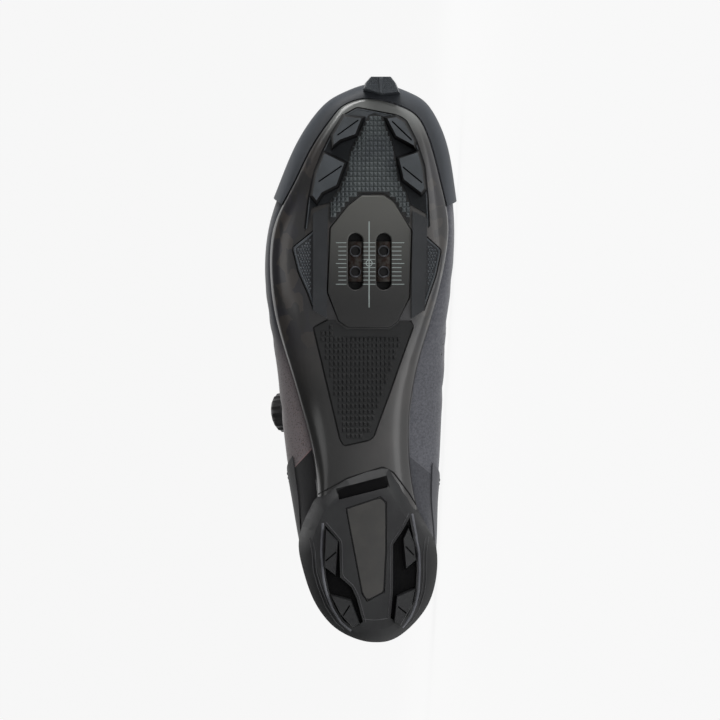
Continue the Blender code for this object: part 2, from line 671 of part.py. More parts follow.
def cleat_parts():
    """Slotted plate with a threaded bar behind each slot."""
    plate = prism("cleat_plate", cleat_outline(), CLEAT_FACE, CLEAT_FACE + CLEAT_THICK, "plate")
    back = CLEAT_FACE + CLEAT_THICK + GAP
    centre = spot(*CLEAT_CENTRE)
    for side, name in ((-1, "lateral"), (1, "medial")):
        cut = guide_prism("slot_" + name, slot_outline(side), CLEAT_FACE - MM, back)
        combine(plate, cut, "DIFFERENCE")
        middle = centre + Vector((0, side * SLOT_PITCH / 2, 0))
        half = (BAR_LENGTH / 2, BAR_WIDTH / 2)
        corners = [middle + Vector((u * half[0], v * half[1], 0)) for u, v in
                   ((1, 1), (-1, 1), (-1, -1), (1, -1))]
        bar = prism("nut_bar_" + name, corners, back, back + BAR_THICK, "nut_steel")
        for end in (-1, 1):
            at = middle + Vector((end * NUT_PITCH / 2, 0, 0))
            sleeve = disc(at, NUT_DIAMETER / 2)
            tag = f"{name}_{'front' if end > 0 else 'rear'}"
            combine(bar, guide_prism("sleeve_" + tag, sleeve, back - NUT_HEIGHT, back + BAR_THICK / 2), "UNION")
            bore = guide_prism("bore_" + tag, disc(at, NUT_BORE / 2), back - 2 * NUT_HEIGHT,
                               back + 2 * BAR_THICK)
            combine(bar, bore, "DIFFERENCE")
        settled("nut_bar_" + name, "nut_steel")
    settled("cleat_plate", "plate")


def disc(centre, radius, sides=16):
    return [centre + Vector((radius * cos(2 * pi * i / sides), radius * sin(2 * pi * i / sides), 0))
            for i in range(sides)]


def heel_blank():
    """Heel rubber before what it is moulded against is taken out of it."""
    rows = np.array([(*spot(a, c)[:2], e / 100 * STACK) for a, c, e in HEEL_EDGE])
    outline = [smooth(rows, i / 2) for i in range(2 * len(rows))]
    plan = [Vector((p[0], p[1], 0)) for p in outline]
    middle = grown(plan, -HEEL_BEVEL / 2)
    inner = grown(plan, -HEEL_BEVEL)
    top = [p + Vector((0, 0, HEEL_CUP)) for p in plan]
    edge = [p + Vector((0, 0, e[2])) for p, e in zip(plan, outline)]
    bevel = [p + Vector((0, 0, HEEL_BASE + 0.32 * (e[2] - HEEL_BASE))) for p, e in zip(middle, outline)]
    base = [p + Vector((0, 0, HEEL_BASE)) for p in inner]
    blank = piece("heel_tread", loft([top, edge, bevel, base]), "rubber")
    bm = bmesh.new()
    bm.from_mesh(blank.data)
    for along in (LIFT_FROM, (LIFT_FROM + LIFT_TO) / 2):
        geometry = bm.verts[:] + bm.edges[:] + bm.faces[:]
        place = spot(along, 0)
        bmesh.ops.bisect_plane(bm, geom=geometry, dist=1e-6, plane_co=place, plane_no=(1, 0, 0))
    bmesh.ops.triangulate(bm, faces=[f for f in bm.faces if len(f.verts) > 4])
    for v in bm.verts:
        depth = (HEEL_CUP - v.co.z) / (HEEL_CUP - HEEL_BASE)
        v.co.z += heel_lift(v.co.x) * depth * depth
    bm.to_mesh(blank.data)
    bm.free()
    return blank


def heel_lift(x):
    """How far the heel's tread face rises ahead of the heel, into the arch."""
    along = x / LENGTH * 100
    return HEEL_LIFT * min(max((along - LIFT_FROM) / (LIFT_TO - LIFT_FROM), 0), 1)


def heel_tread():
    """Heel cup moulded against plate and upper, with pockets, recess and four lugs."""
    heel = heel_blank()
    combine(heel, plate_form("guide_plate_room", None, GAP), "DIFFERENCE")
    combine(heel, last_form(GAP, "guide_last_room"), "DIFFERENCE")
    floor_height = HEEL_BASE + POCKET_DEPTH
    for number, outline in enumerate(HEEL_POCKETS, 1):
        cut = guide_prism(f"pocket_{number}", spots(outline), -MM, floor_height, -POCKET_DEPTH / 4)
        combine(heel, cut, "DIFFERENCE")
    recess_top = HEEL_BASE + HEEL_LIFT * 0.6 + RECESS_DEPTH
    combine(heel, guide_prism("recess", spots(HEEL_RECESS), -MM, recess_top), "DIFFERENCE")
    inlay_top = HEEL_BASE + HEEL_INLAY_THICK + GAP
    well = guide_prism("inlay_well", grown(spots(HEEL_INLAY), GAP), -MM, inlay_top)
    combine(heel, lifted(well), "DIFFERENCE")
    for number, (outline, ends) in enumerate(HEEL_LUGS, 1):
        lug = guide_prism(f"heel_lug_{number}", spots(outline), 0, floor_height + 0.5 * MM, LUG_DRAFT / 2)
        combine(heel, lug, "UNION")
    for number, (outline, ends) in enumerate(HEEL_LUGS, 1):
        combine(heel, sipe(f"heel_sipe_{number}", ends, SIPE_DEPTH, -MM), "DIFFERENCE")
    return settled("heel_tread", "rubber")


def lifted(made):
    """Bend a flat heel piece up with the tread face where that rises into the arch."""
    bm = bmesh.new()
    bm.from_mesh(made.data)
    geometry = bm.verts[:] + bm.edges[:] + bm.faces[:]
    place = spot(LIFT_FROM, 0)
    bmesh.ops.bisect_plane(bm, geom=geometry, dist=1e-6, plane_co=place, plane_no=(1, 0, 0))
    bmesh.ops.triangulate(bm, faces=[f for f in bm.faces if len(f.verts) > 4])
    for v in bm.verts:
        v.co.z += heel_lift(v.co.x)
    bm.to_mesh(made.data)
    bm.free()
    return made


def heel_inlay():
    """Smooth panel let into the heel's tread face."""
    panel = prism("heel_inlay", spots(HEEL_INLAY), HEEL_BASE, HEEL_BASE + HEEL_INLAY_THICK, "plate")
    return lifted(panel)


def toe_pieces():
    """Guard round the toe and the stud under its tip."""
    spans = (level(GUARD_SPAN[0]), level(GUARD_SPAN[1]))
    band("toe_guard", "guard", GUARD_ENDS, spans, (GAP, GAP + GUARD), GUARD_SLANT)
    room_spans = (level(0), level(GUARD_SPAN[1]))
    room = band("guide_stud_room", None, GUARD_ENDS, room_spans, (-WALL, 2 * GAP + GUARD), GUARD_SLANT)
    low = STUD_FOOT / 100 * STACK
    stud = prism("toe_stud", spots(STUD), low, low + 16 * MM, "rubber", MM)
    combine(stud, room, "DIFFERENCE")
    inner = last_form(GAP, "guide_stud_last")
    combine(stud, inner, "DIFFERENCE")
    settled("toe_stud", "rubber")


def overlays():
    """Heel counter, eyestay, lace guides and the collar's padded lining."""
    counter = (lambda at: lerp_table(COUNTER_LOW, at), lambda at: lerp_table(COUNTER_HIGH, at))
    band("heel_counter", "panel", COUNTER_ENDS, counter, (COUNTER_GAP, COUNTER_GAP + OVERLAY), COUNTER_SLANT)
    stay = (lambda at: lerp_table(EYESTAY_SPAN, at), level(EDGE_MARK))
    band("eyestay", "panel", EYESTAY_ENDS, stay, (GAP, GAP + OVERLAY))
    low = GAP + OVERLAY + GAP
    guide_span = (level(GUIDE_SPAN[0]), level(GUIDE_SPAN[1]))
    for number, place in enumerate(GUIDE_PLACES, 1):
        for side, at in (("lateral", place + GUIDE_STAGGER), ("medial", RING - place)):
            ends = (at - GUIDE_HALF, at + GUIDE_HALF)
            band(f"lace_guide_{side}_{number}", "lace", ends, guide_span, (low, low + GUIDE))
    inside = (-WALL - GAP - COLLAR_PAD, -WALL - GAP)
    pad_span = (level(PAD_SPAN[0]), level(PAD_SPAN[1]))
    band("collar_pad", "lining", (-PAD_ENDS, PAD_ENDS), pad_span, inside)


def tongue():
    """Padded tongue under the throat, with its tab above the collar's front."""
    down = WALL + TONGUE_CLEAR
    loops = []
    for step in range(TONGUE_SECTIONS + 1):
        at = TONGUE_ENDS[0] + (TONGUE_ENDS[1] - TONGUE_ENDS[0]) * step / TONGUE_SECTIONS
        reach = lerp_table(TONGUE_REACH, at)
        marks = (reach, (1 + reach) / 2, 1.0)
        lateral = [skin(at, m, -down) for m in marks]
        medial = [skin(RING - at, m, -down) for m in reversed(marks)]
        start, end = lateral[-1], medial[0]
        crown = np.array((0, 0, lerp_table(TONGUE_CROWNS, at)))
        middle = [start + (end - start) * t + crown * 4 * t * (1 - t) for t in (0.25, 0.5, 0.75)]
        face = lateral + middle + medial
        if not loops:
            loops.append(tongue_loop([p + np.array(TONGUE_TOE) for p in face]))
        if at > TONGUE_ENDS[1]:
            loops.append(tongue_loop(face))
    centre = sum(face) / len(face)
    for share, squeeze in TONGUE_TAB_STEPS:
        shift = np.array(TONGUE_TAB) * share
        loops.append(tongue_loop([centre + shift + (p - centre) * (1, squeeze, squeeze) for p in face]))
    return piece("tongue", loft(loops, folded=True), "lining")


def tongue_loop(upper):
    """A closed section: the tongue's face and its back, one thickness further in."""
    centre = (upper[0] + upper[-1]) / 2 - np.array((0, 0, 30 * MM))
    back = [p + (centre - p) / np.linalg.norm(centre - p) * TONGUE for p in upper]
    return list(upper) + list(reversed(back))


def insole():
    """Foot bed: thin over the lasting margin, down to the plate between its edges."""
    up = np.array((0.0, 0.0, 1.0))
    loops = []
    for at in (k for k in halves() if k <= INSOLE_END):
        sides = []
        for place in (at, RING - at):
            foot = smooth(FOOT, place)
            toward = smooth(WIDE, place) - foot
            toward = toward * (1, 1, 0) / np.linalg.norm(toward[:2])
            rim = foot - toward * INSOLE_CLEAR + up * (GAP + WALL + INSOLE_CLEAR)
            step = foot - toward * (MARGIN + INSOLE_CLEAR) + up * GAP
            shelf = np.array((step[0], step[1], rim[2]))
            sides.append([rim + up * (INSOLE - WALL), rim, shelf, step])
        loops.append(sides[0] + list(reversed(sides[1])))
    return piece("insole", loft(loops, caps=(False, True), folded=True), "lining")


def dial():
    """Base seated on the upper and the ridged knob on it."""
    at, mark = DIAL_AT
    seat = Vector(skin(at, mark))
    step = 0.02
    round_ring = Vector(skin(at + step, mark)) - Vector(skin(at - step, mark))
    up_profile = Vector(skin(at, mark + step)) - Vector(skin(at, mark - step))
    normal = round_ring.cross(up_profile).normalized()
    turn = normal.to_track_quat("Z", "X").to_matrix().to_4x4()
    frame = Matrix.Translation(seat) @ turn
    under = 6 * MM
    base = prism("dial_base", disc(Vector(), DIAL_BASE_DIAMETER / 2, 24), -under, DIAL_BASE_HEIGHT,
                 "dial_plastic", -MM)
    base.data.transform(frame)
    combine(base, last_form(GAP, "guide_dial_room"), "DIFFERENCE")
    settled("dial_base", "dial_plastic")
    rim = []
    for i in range(2 * DIAL_NOTCHES):
        radius = DIAL_DIAMETER / 2 - (DIAL_NOTCH if i % 2 else 0)
        angle = pi * i / DIAL_NOTCHES
        rim.append(Vector((radius * cos(angle), radius * sin(angle), 0)))
    low = DIAL_BASE_HEIGHT + GAP
    levels = ((low, 1.0), (low + DIAL_HEIGHT * 0.8, 0.97), (low + DIAL_HEIGHT, 0.84))
    loops = [[p * share + Vector((0, 0, z)) for p in rim] for z, share in levels]
    knob = piece("dial_knob", loft(loops), "dial_plastic")
    knob.data.transform(frame)


def lace_wire():
    """The lace's crossings over the throat, in one run from the dial's side."""
    lift = GAP + OVERLAY + WIRE_LIFT
    route = [skin(WIRE_START, 0.93, lift), skin(WIRE_START + 0.1, 1.0, lift)]
    for place in GUIDE_PLACES:
        for at, turn in ((RING - place, -1), (place + GUIDE_STAGGER, 1)):
            edge = skin(at, 1.0, lift)
            across = skin(RING - at, 1.0, lift) - edge
            inward = across / np.linalg.norm(across) * WIRE_INSET
            for shift in (-WIRE_TURN, WIRE_TURN):
                route.append(skin(at + turn * shift, 1.0, lift) + inward)
    route = np.array(route)
    fine = [smooth(route, i / 3) for i in range(3 * (len(route) - 2) + 1) if i > 2]
    rings = []
    for i, place in enumerate(fine):
        ahead = fine[min(i + 1, len(fine) - 1)] - fine[max(i - 1, 0)]
        turn = Vector(ahead).to_track_quat("Z", "Y").to_matrix()
        rings.append([Vector(place) + turn @ p for p in disc(Vector(), WIRE / 2, 6)])
    return piece("lace_wire", loft(rings), "lace")


def solids():
    return [o for o in bpy.data.objects if o.type == "MESH" and not o.hide_render]


def lay_down():
    """Turn the shoe onto its medial side: onto the facet of its hull under its centre."""
    bpy.context.view_layer.update()
    graph = bpy.context.evaluated_depsgraph_get()
    hull = bmesh.new()
    centre = Vector()
    volume = 0.0
    for solid in solids():
        mesh = solid.evaluated_get(graph).to_mesh()
        mesh.calc_loop_triangles()
        for tri in mesh.loop_triangles:
            a, b, c = (mesh.vertices[i].co for i in tri.vertices)
            part = a.dot(b.cross(c)) / 6
            centre += (a + b + c) / 4 * part
            volume += part
        for v in mesh.vertices:
            hull.verts.new(v.co)
    centre /= volume
    made = bmesh.ops.convex_hull(hull, input=hull.verts)
    best = None
    for face in (g for g in made["geom"] if isinstance(g, bmesh.types.BMFace)):
        normal = face.normal if face.normal.dot(face.verts[0].co - centre) > 0 else -face.normal
        if best and normal.y < best.y:
            continue
        corners = [v.co for v in face.verts]
        sides = [(corners[i] - corners[i - 1]).cross(centre - corners[i - 1]).dot(face.normal)
                 for i in range(3)]
        if min(sides) > 0 or max(sides) < 0:
            best = normal.copy()
    hull.free()
    lay = best.rotation_difference(Vector((0, 0, -1))).to_matrix().to_4x4()
    toe = lay @ Vector((1, 0, 0))
    straight = Matrix.Rotation(-np.arctan2(toe.y, toe.x), 4, "Z")
    turned = straight @ lay
    corners = []
    for solid in solids():
        mesh = solid.evaluated_get(graph).to_mesh()
        corners += [turned @ v.co for v in mesh.vertices]
    low = Vector([min(c[i] for c in corners) for i in range(3)])
    high = Vector([max(c[i] for c in corners) for i in range(3)])
    foot = Vector(((low.x + high.x) / 2, (low.y + high.y) / 2, low.z))
    empty = bpy.data.objects.new("shoe", None)
    bpy.context.scene.collection.objects.link(empty)
    for solid in solids():
        solid.parent = empty
    empty.matrix_world = Matrix.Translation(-foot) @ turned


def main():
    for old in list(bpy.data.objects):
        bpy.data.objects.remove(old)
    upper_shell()
    sole_plate()
    forefoot_tread()
    underside_panels()
    cleat_parts()
    heel_tread()
    heel_inlay()
    toe_pieces()
    overlays()
    tongue()
    insole()
    dial()
    lace_wire()
    lay_down()


main()
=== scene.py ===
# %% [markdown]
# # A lugged cycling shoe, seen from below
#
# The shoe lies on its side with its sole towards us. Its rigid solids come from the packed
# CAD part, and this script dresses them: it smooths the upper, cuts the fine tread, threads
# the nuts, runs the lace, and gives every surface its own finish. All measures are taken
# along the standing shoe, in millimetres: u from heel to toe, v from the outer (lateral)
# side to the inner (medial) side, h up from the floor the lugs would stand on.

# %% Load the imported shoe
from math import cos, pi, radians, sin

import bmesh
import bpy
from mathutils import Euler, Matrix, Vector
from mathutils.bvhtree import BVHTree


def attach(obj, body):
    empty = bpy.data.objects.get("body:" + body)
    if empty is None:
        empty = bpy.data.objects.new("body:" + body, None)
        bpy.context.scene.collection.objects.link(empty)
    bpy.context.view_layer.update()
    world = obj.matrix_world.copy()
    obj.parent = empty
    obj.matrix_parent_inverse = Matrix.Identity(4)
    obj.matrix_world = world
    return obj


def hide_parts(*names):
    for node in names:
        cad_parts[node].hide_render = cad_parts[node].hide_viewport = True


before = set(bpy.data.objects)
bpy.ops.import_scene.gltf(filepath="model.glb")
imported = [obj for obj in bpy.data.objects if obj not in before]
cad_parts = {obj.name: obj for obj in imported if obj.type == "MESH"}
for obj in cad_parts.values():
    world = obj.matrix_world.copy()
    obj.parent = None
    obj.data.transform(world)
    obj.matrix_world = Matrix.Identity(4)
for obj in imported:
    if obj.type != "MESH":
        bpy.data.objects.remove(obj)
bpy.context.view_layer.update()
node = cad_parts

# %% [markdown]
# The CAD laid the shoe on its medial side: it was rolled over, and its toe rose a little
# because the ball of the foot is wider than the heel. With that turn as a matrix, a piece
# can be modelled in the standing shoe's millimetres and dropped into place at the end. The
# alternative, turning each object, would slide its patterns when the model is exported.

# %% From the standing shoe to where it lies
MM = 0.001
ROLL, TOE_RISE = radians(-89.812124), radians(-3.129449)
HEEL_POINT = Vector((-0.1410014, -0.04944901, 0.03280867))
LAY = Matrix.Translation(HEEL_POINT) @ Euler((ROLL, TOE_RISE, 0)).to_matrix().to_4x4()
TO_ROW = LAY @ Matrix.Scale(MM, 4)
TO_SHOE = TO_ROW.inverted()
print("the toe rises by", round(-TOE_RISE / radians(1), 1), "degrees")

# %% [markdown]
# Every piece goes the same way. A CAD mesh is copied as a bmesh in the shoe's millimetres,
# changed there, and made into an object that carries its finish and stands for its node.
# Bevels and subdivision stay as modifiers.


# %% Copy, make and smooth a piece
def copied(name):
    """A CAD node's mesh in the shoe's millimetres, its loose triangles merged into quads."""
    bm = bmesh.new()
    bm.from_mesh(node[name].data)
    bm.transform(TO_SHOE)
    bmesh.ops.remove_doubles(bm, verts=bm.verts, dist=0.01)
    bmesh.ops.join_triangles(bm, faces=bm.faces, angle_face_threshold=radians(30),
                             angle_shape_threshold=radians(70))
    return bm


def made(name, bm, slot, finish, stands_for=(), sharp=35):
    """A finished piece from a bmesh in the shoe's millimetres."""
    bm.transform(TO_ROW)
    for face in bm.faces:
        face.smooth = True
    for edge in bm.edges:
        edge.smooth = edge.calc_face_angle(0) < radians(sharp)
    mesh = bpy.data.meshes.new(name)
    bm.to_mesh(mesh)
    bm.free()
    if "custom_normal" in mesh.attributes:
        mesh.attributes.remove(mesh.attributes["custom_normal"])
    mesh.materials.clear()
    mesh.materials.append(finish)
    obj = bpy.data.objects.new(name, mesh)
    bpy.context.scene.collection.objects.link(obj)
    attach(obj, "root")
    if stands_for:
        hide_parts(*stands_for)
    return obj


def rounded(obj, width, segments=2, angle=40):
    """Bevel the edges that are sharper than an angle."""
    bevel = obj.modifiers.new("rounded", "BEVEL")
    bevel.limit_method = "ANGLE"
    bevel.angle_limit = radians(angle)
    bevel.width = width * MM
    bevel.segments = segments
    return obj


def flowing(obj, levels=2):
    """Smooth the facets with a subdivision surface."""
    smooth = obj.modifiers.new("flowing", "SUBSURF")
    smooth.levels = smooth.render_levels = levels
    return obj


# %% [markdown]
# Small things such as studs and stitches have to sit on the surface that carries them. A
# ray shot at the CAD node finds that surface exactly, so nothing is placed by eye.

# %% Find a surface with a ray
UP = Vector((0, 0, 1))
START_OF_RAY = -60
trees = {}


def tree_of(name):
    """The search tree of a CAD node in the shoe's millimetres."""
    if name not in trees:
        bm = bmesh.new()
        bm.from_mesh(node[name].data)
        bm.transform(TO_SHOE)
        trees[name] = BVHTree.FromBMesh(bm)
        bm.free()
    return trees[name]


def below(name, u, v):
    """The height of a node's underside at a place, or None beside it."""
    spot, _, _, _ = tree_of(name).ray_cast(Vector((u, v, START_OF_RAY)), UP)
    return spot.z if spot else None


print("sole underside at the cleat:", round(below("sole_plate", 150, 0), 2), "mm")

# %% [markdown]
# ## Finishes
#
# Every finish is made from nodes, so it holds up at any distance and needs no image. Their
# maths reads best as formulas. The class below wraps a socket that holds a number, and
# lets Python's own operators add the Math nodes.


# %% Numbers as Python expressions
class Field:
    """A number that varies over the surface. Arithmetic on it adds Math nodes."""

    def __init__(self, finish, socket):
        self.finish, self.socket = finish, socket

    def maths(self, operation, *others):
        return self.finish.maths(operation, self, *others)

    def __add__(self, other):
        return self.maths("ADD", other)

    def __mul__(self, other):
        return self.maths("MULTIPLY", other)

    def __sub__(self, other):
        return self.maths("SUBTRACT", other)

    def __rsub__(self, other):
        return self.finish.maths("SUBTRACT", other, self)

    def __truediv__(self, other):
        return self.maths("DIVIDE", other)

    def __mod__(self, other):
        return self.maths("FLOORED_MODULO", other)

    def __gt__(self, other):
        return self.maths("GREATER_THAN", other)

    def __lt__(self, other):
        return self.maths("LESS_THAN", other)

    def __abs__(self):
        return self.maths("ABSOLUTE")

    __radd__ = __add__
    __rmul__ = __mul__

    def highest(self, other):
        return self.maths("MAXIMUM", other)

    def wave(self):
        return self.maths("SINE")

    def ramp(self, low, high):
        """0 below low, 1 above high, with a smooth step between."""
        inputs = {"Value": self, "From Min": low, "From Max": high}
        step = self.finish.node("MapRange", {"interpolation_type": "SMOOTHSTEP"}, inputs)
        return Field(self.finish, step.outputs["Result"])


# %% [markdown]
# A second class holds one material. One method adds any node, `place` gives the position
# on the shoe in millimetres, and the others are the few patterns that the finishes share.


# %% A finish in the making
class Finish:
    """A material in the making."""

    def __init__(self, name, **sockets):
        self.material = bpy.data.materials.new(name)
        self.material.use_nodes = True
        self.tree = self.material.node_tree
        self.shader = self.tree.nodes["Principled BSDF"]
        for key, value in sockets.items():
            self.shader.inputs[key.replace("_", " ")].default_value = value

    def feed(self, socket, value):
        value = getattr(value, "socket", value)
        if isinstance(value, bpy.types.NodeSocket):
            self.tree.links.new(value, socket)
        else:
            socket.default_value = value

    def node(self, kind, settings=None, inputs=None):
        """Add a node: its settings first, then the values or links of its sockets."""
        added = self.tree.nodes.new("ShaderNode" + kind)
        for key, value in (settings or {}).items():
            setattr(added, key, value)
        for key, value in (inputs or {}).items():
            self.feed(added.inputs[key], value)
        return added

    def maths(self, operation, *values):
        added = self.node("Math", {"operation": operation})
        for socket, value in zip(added.inputs, values):
            self.feed(socket, value)
        return Field(self, added.outputs["Value"])

    def place(self):
        """The point's place in the standing shoe, in millimetres."""
        spot = self.node("TexCoord").outputs["Object"]
        inputs = {"Vector": spot, "Location": LAY.translation, "Rotation": LAY.to_euler(),
                  "Scale": (MM, MM, MM)}
        return self.node("Mapping", {"vector_type": "TEXTURE"}, inputs).outputs["Vector"]

    def facing(self):
        """1 where the surface looks straight down at the ground, 0 on a wall."""
        way = self.node("TexCoord").outputs["Normal"]
        inputs = {0: way, 1: LAY.to_3x3() @ Vector((0, 0, -1))}
        dot = self.node("VectorMath", {"operation": "DOT_PRODUCT"}, inputs)
        return Field(self, dot.outputs["Value"])

    def split(self, vector):
        parts = self.node("SeparateXYZ", None, {"Vector": vector})
        return [Field(self, socket) for socket in parts.outputs]

    def stretch(self, vector, scale, turn=(0, 0, 0)):
        inputs = {"Vector": vector, "Scale": scale, "Rotation": turn}
        return self.node("Mapping", None, inputs).outputs["Vector"]

    def grain(self, vector, scale, detail=2.0, rough=0.5):
        inputs = {"Vector": vector, "Scale": scale, "Detail": detail, "Roughness": rough}
        return Field(self, self.node("TexNoise", None, inputs).outputs["Fac"])

    def cells(self, vector, scale, distance="EUCLIDEAN", jitter=1.0):
        """Distance to the nearest cell centre, and a random number for each cell."""
        inputs = {"Vector": vector, "Scale": scale, "Randomness": jitter}
        made_cells = self.node("TexVoronoi", {"distance": distance}, inputs)
        lot = self.node("SeparateColor", None, {"Color": made_cells.outputs["Color"]})
        return Field(self, made_cells.outputs["Distance"]), Field(self, lot.outputs["Red"])

    def corners(self, reach):
        """1 deep in a corner of the piece, 0 on an open face. The reach is in millimetres."""
        settings = {"samples": 8, "only_local": True}
        open_sky = self.node("AmbientOcclusion", settings, {"Distance": reach * MM})
        return 1 - Field(self, open_sky.outputs["AO"])

    def mix(self, share, first, second):
        added = self.node("Mix", {"data_type": "RGBA"})
        for number, value in ((0, share), (6, first), (7, second)):
            self.feed(added.inputs[number], value)
        return added.outputs[2]

    def relief(self, height, depth):
        """Bump: a height field, with its depth in millimetres."""
        inputs = {"Height": height, "Distance": depth * MM, "Strength": 1.0}
        self.feed(self.shader.inputs["Normal"], self.node("Bump", None, inputs).outputs["Normal"])

    def paint(self, colour=None, roughness=None):
        if colour is not None:
            self.feed(self.shader.inputs["Base Color"], colour)
        if roughness is not None:
            self.feed(self.shader.inputs["Roughness"], roughness)
        return self.material


def tone(code, gain=1.0):
    """A linear colour from the screen colour that the surface should show."""
    parts = [int(code[i:i + 2], 16) / 255 for i in (0, 2, 4)]
    return (*[gain * (p / 12.92 if p <= 0.04045 else ((p + 0.055) / 1.055) ** 2.4) for p in parts], 1)


# %% [markdown]
# The plate is a moulded composite under clear lacquer. Its surface shows broad diamond
# patches in faint browns and purples, over a fine weave. Large stretched cells give the
# patches, and two crossed waves the weave. The lacquer is the shader's own coat.

# %% Lacquered composite
lacquer = Finish("composite_plate", Coat_Weight=0.7, Coat_Roughness=0.2)
spot = lacquer.place()
u, v, h = lacquer.split(spot)
warped = lacquer.stretch(spot, (0.10, 0.16, 0.0), (0, 0, radians(8)))
near, lot = lacquer.cells(warped, 1.0, "MANHATTAN", 0.85)
cloud = lacquer.grain(spot, 0.05, 3.0)
patch = lacquer.mix((lot > 0.62) * 0.75, tone("141314"), tone("2d2825"))
patch = lacquer.mix((lot < 0.30) * 0.65, patch, tone("121119"))
plain = lacquer.mix(cloud.ramp(0.35, 0.65), tone("1d1c1c"), tone("262423"))
# Painted highlight: towards the toe the plate is painted light grey, standing in for the toe lamp's
# reflection in the lacquer.
plain = lacquer.mix(u.ramp(244, 266) * 0.85, plain, tone("6a6c6a"))
# Painted shade: the outer side of the plate, from the heel to the arch, is painted nearly black.
plain = lacquer.mix((1 - v.ramp(-14, 2)) * (1 - u.ramp(120, 150)) * 0.85, plain, tone("080808"))
in_patches = u.ramp(130, 165) * (1 - u.ramp(236, 262))
weave = ((u + v) * 5.2).wave() * ((u - v) * 5.2).wave()
lacquer.relief(weave * 0.5 + lacquer.grain(spot, 0.6, 3.0) * 0.8, 0.02)
roughness = 0.30 + lacquer.grain(spot, 0.4, 4.0) * 0.12
COMPOSITE = lacquer.paint(lacquer.mix(in_patches, plain, patch), roughness)

# %% [markdown]
# Moulded rubber is matte, with a very fine skin texture from the mould. One function makes
# every kind. Its walls may take a tone of their own: a dark one is painted shade, a light one
# a painted highlight. Where a piece has hollows, their floors and corners are darkened and
# lose their sheen, as painted shade.


# %% Rubber
def rubber(name, light, dark, roughness, grain, depth, wall=None, hollow=None):
    """Rubber between two greys. Walls may carry painted shade or a painted highlight, and hollows painted
    shade.
    """
    finish = Finish(name, Specular_IOR_Level=0.34)
    spot = finish.place()
    skin = finish.grain(spot, grain, 4.0, 0.6)
    cloud = finish.grain(spot, 0.08, 3.0)
    finish.relief(skin, depth)
    colour = finish.mix(cloud.ramp(0.3, 0.7), tone(dark), tone(light))
    # The walls' own tone: painted shade where it is dark, a painted highlight where it is light.
    if wall:
        colour = finish.mix(finish.facing().ramp(0.5, 0.93), tone(wall), colour)
    # Painted shade: the hollow floors and the corners turn nearly black and lose their sheen.
    if hollow:
        shade = hollow(*finish.split(spot)).highest(finish.corners(5.0).ramp(0.22, 0.6))
        colour = finish.mix(shade * 0.92, colour, tone("040405"))
        finish.feed(finish.shader.inputs["Specular IOR Level"], 0.34 - shade * 0.27)
    return finish.paint(colour, roughness + (skin - 0.5) * 0.16)


def between(field, low, high):
    return (field > low) * (field < high)


# %% [markdown]
# Two pieces have hollows whose floors are painted almost black as painted shade. A floor is
# found by its height: in the heel inside an ellipse that holds the four pockets, and in a tilted
# rectangle, the recess. In the tread it is the thin base, which bends upwards towards the toe.


# %% Painted shade on the floors of the hollows
def heel_hollow_shade(u, v, h):
    """Where painted shade goes: the floors of the four lug pockets, and the bare recess in front of the
    inlay.
    """
    out = ((u - 46) * (u - 46) / 1600 + (v - 1.2) * (v - 1.2) / 700) < 1
    across = (u - 76.6) * 0.968 - (v + 2.1) * 0.249
    along = (u - 76.6) * 0.249 + (v + 2.1) * 0.968
    recess = (abs(across) < 3.0) * (abs(along) < 13.0) * h.ramp(7.9, 8.4)
    return (out * (u < 52) * h.ramp(5.6, 6.8)).highest(recess)


def frame_floor_shade(u, v, h):
    """Where painted shade goes: the thin base between the lugs. It follows the plate, which rises towards
    the toe.
    """
    lowest = (u - 213) * (u - 213) * 0.00435 + 4.2
    return (h - lowest).ramp(-1.2, 0.2) * (1 - u.ramp(258.5, 261)) * 0.8


# %% [markdown]
# The tread, the smoother toe guard and the harder heel differ in two greys, sheen, grain and
# depth, and in their painted shade and highlights. Raised edges catch more light than the
# flats, so the heel's lips, the pocket crescents and the plate's rim cords get lighter finishes
# of their own as painted highlights, and the joints between pieces are black.

# %% The shoe's rubbers
# Painted shade: the tread's lug walls, the base between the lugs and its corners are painted nearly black.
TREAD = rubber("tread_rubber", "373b3f", "2d3134", 0.55, 3.2, 0.10, "050506", frame_floor_shade)
# Painted shade: the wings' walls are painted nearly black.
WINGS = rubber("wing_rubber", "212326", "1c1e21", 0.50, 3.2, 0.08, "0c0c0e")
STUDS = rubber("stud_rubber", "3c4044", "34383c", 0.42, 3.2, 0.06)
INSET = rubber("inset_rubber", "111213", "0c0d0e", 0.60, 3.2, 0.06)
# Painted highlight: the guard's side walls are painted a lighter grey than its face.
GUARD = rubber("guard_rubber", "303337", "292c30", 0.50, 4.5, 0.05, "3d4147")
# Painted shade: the heel's pocket floors, its recess and its corners are painted nearly black.
HEEL = rubber("heel_rubber", "1d1e1f", "171719", 0.46, 4.0, 0.05, None, heel_hollow_shade)
# Painted highlight: the heel's ridges and lips are a much lighter rubber than the heel.
LIP_HIGHLIGHT = rubber("heel_lip_highlight", "3a3a3c", "303032", 0.40, 4.0, 0.03)
# Painted highlight: a light cord along the outer edge of each lug pocket.
CRESCENT_HIGHLIGHT = rubber("pocket_edge_highlight", "606166", "4c4d52", 0.38, 4.0, 0.03)
PYRAMIDS = rubber("pyramid_rubber", "4f5455", "44484b", 0.40, 3.2, 0.04)
# Painted highlight: a light cord along each edge of the plate's rim.
RIM = rubber("rim_painted_highlight", "6a6a6b", "565657", 0.30, 3.0, 0.01)
# Black for the joints between pieces, and as painted shadow in the cleat slots.
BLACK = rubber("seam_and_shadow_black", "060607", "040405", 0.8, 3.0, 0.02)

# %% [markdown]
# The cleat plate is painted metal, and its light grey marks help to set the cleat straight:
# a centre line, a small ring and three columns of eleven lines. They are printed, so they
# belong in the finish. Each is a formula of the place on the shoe.

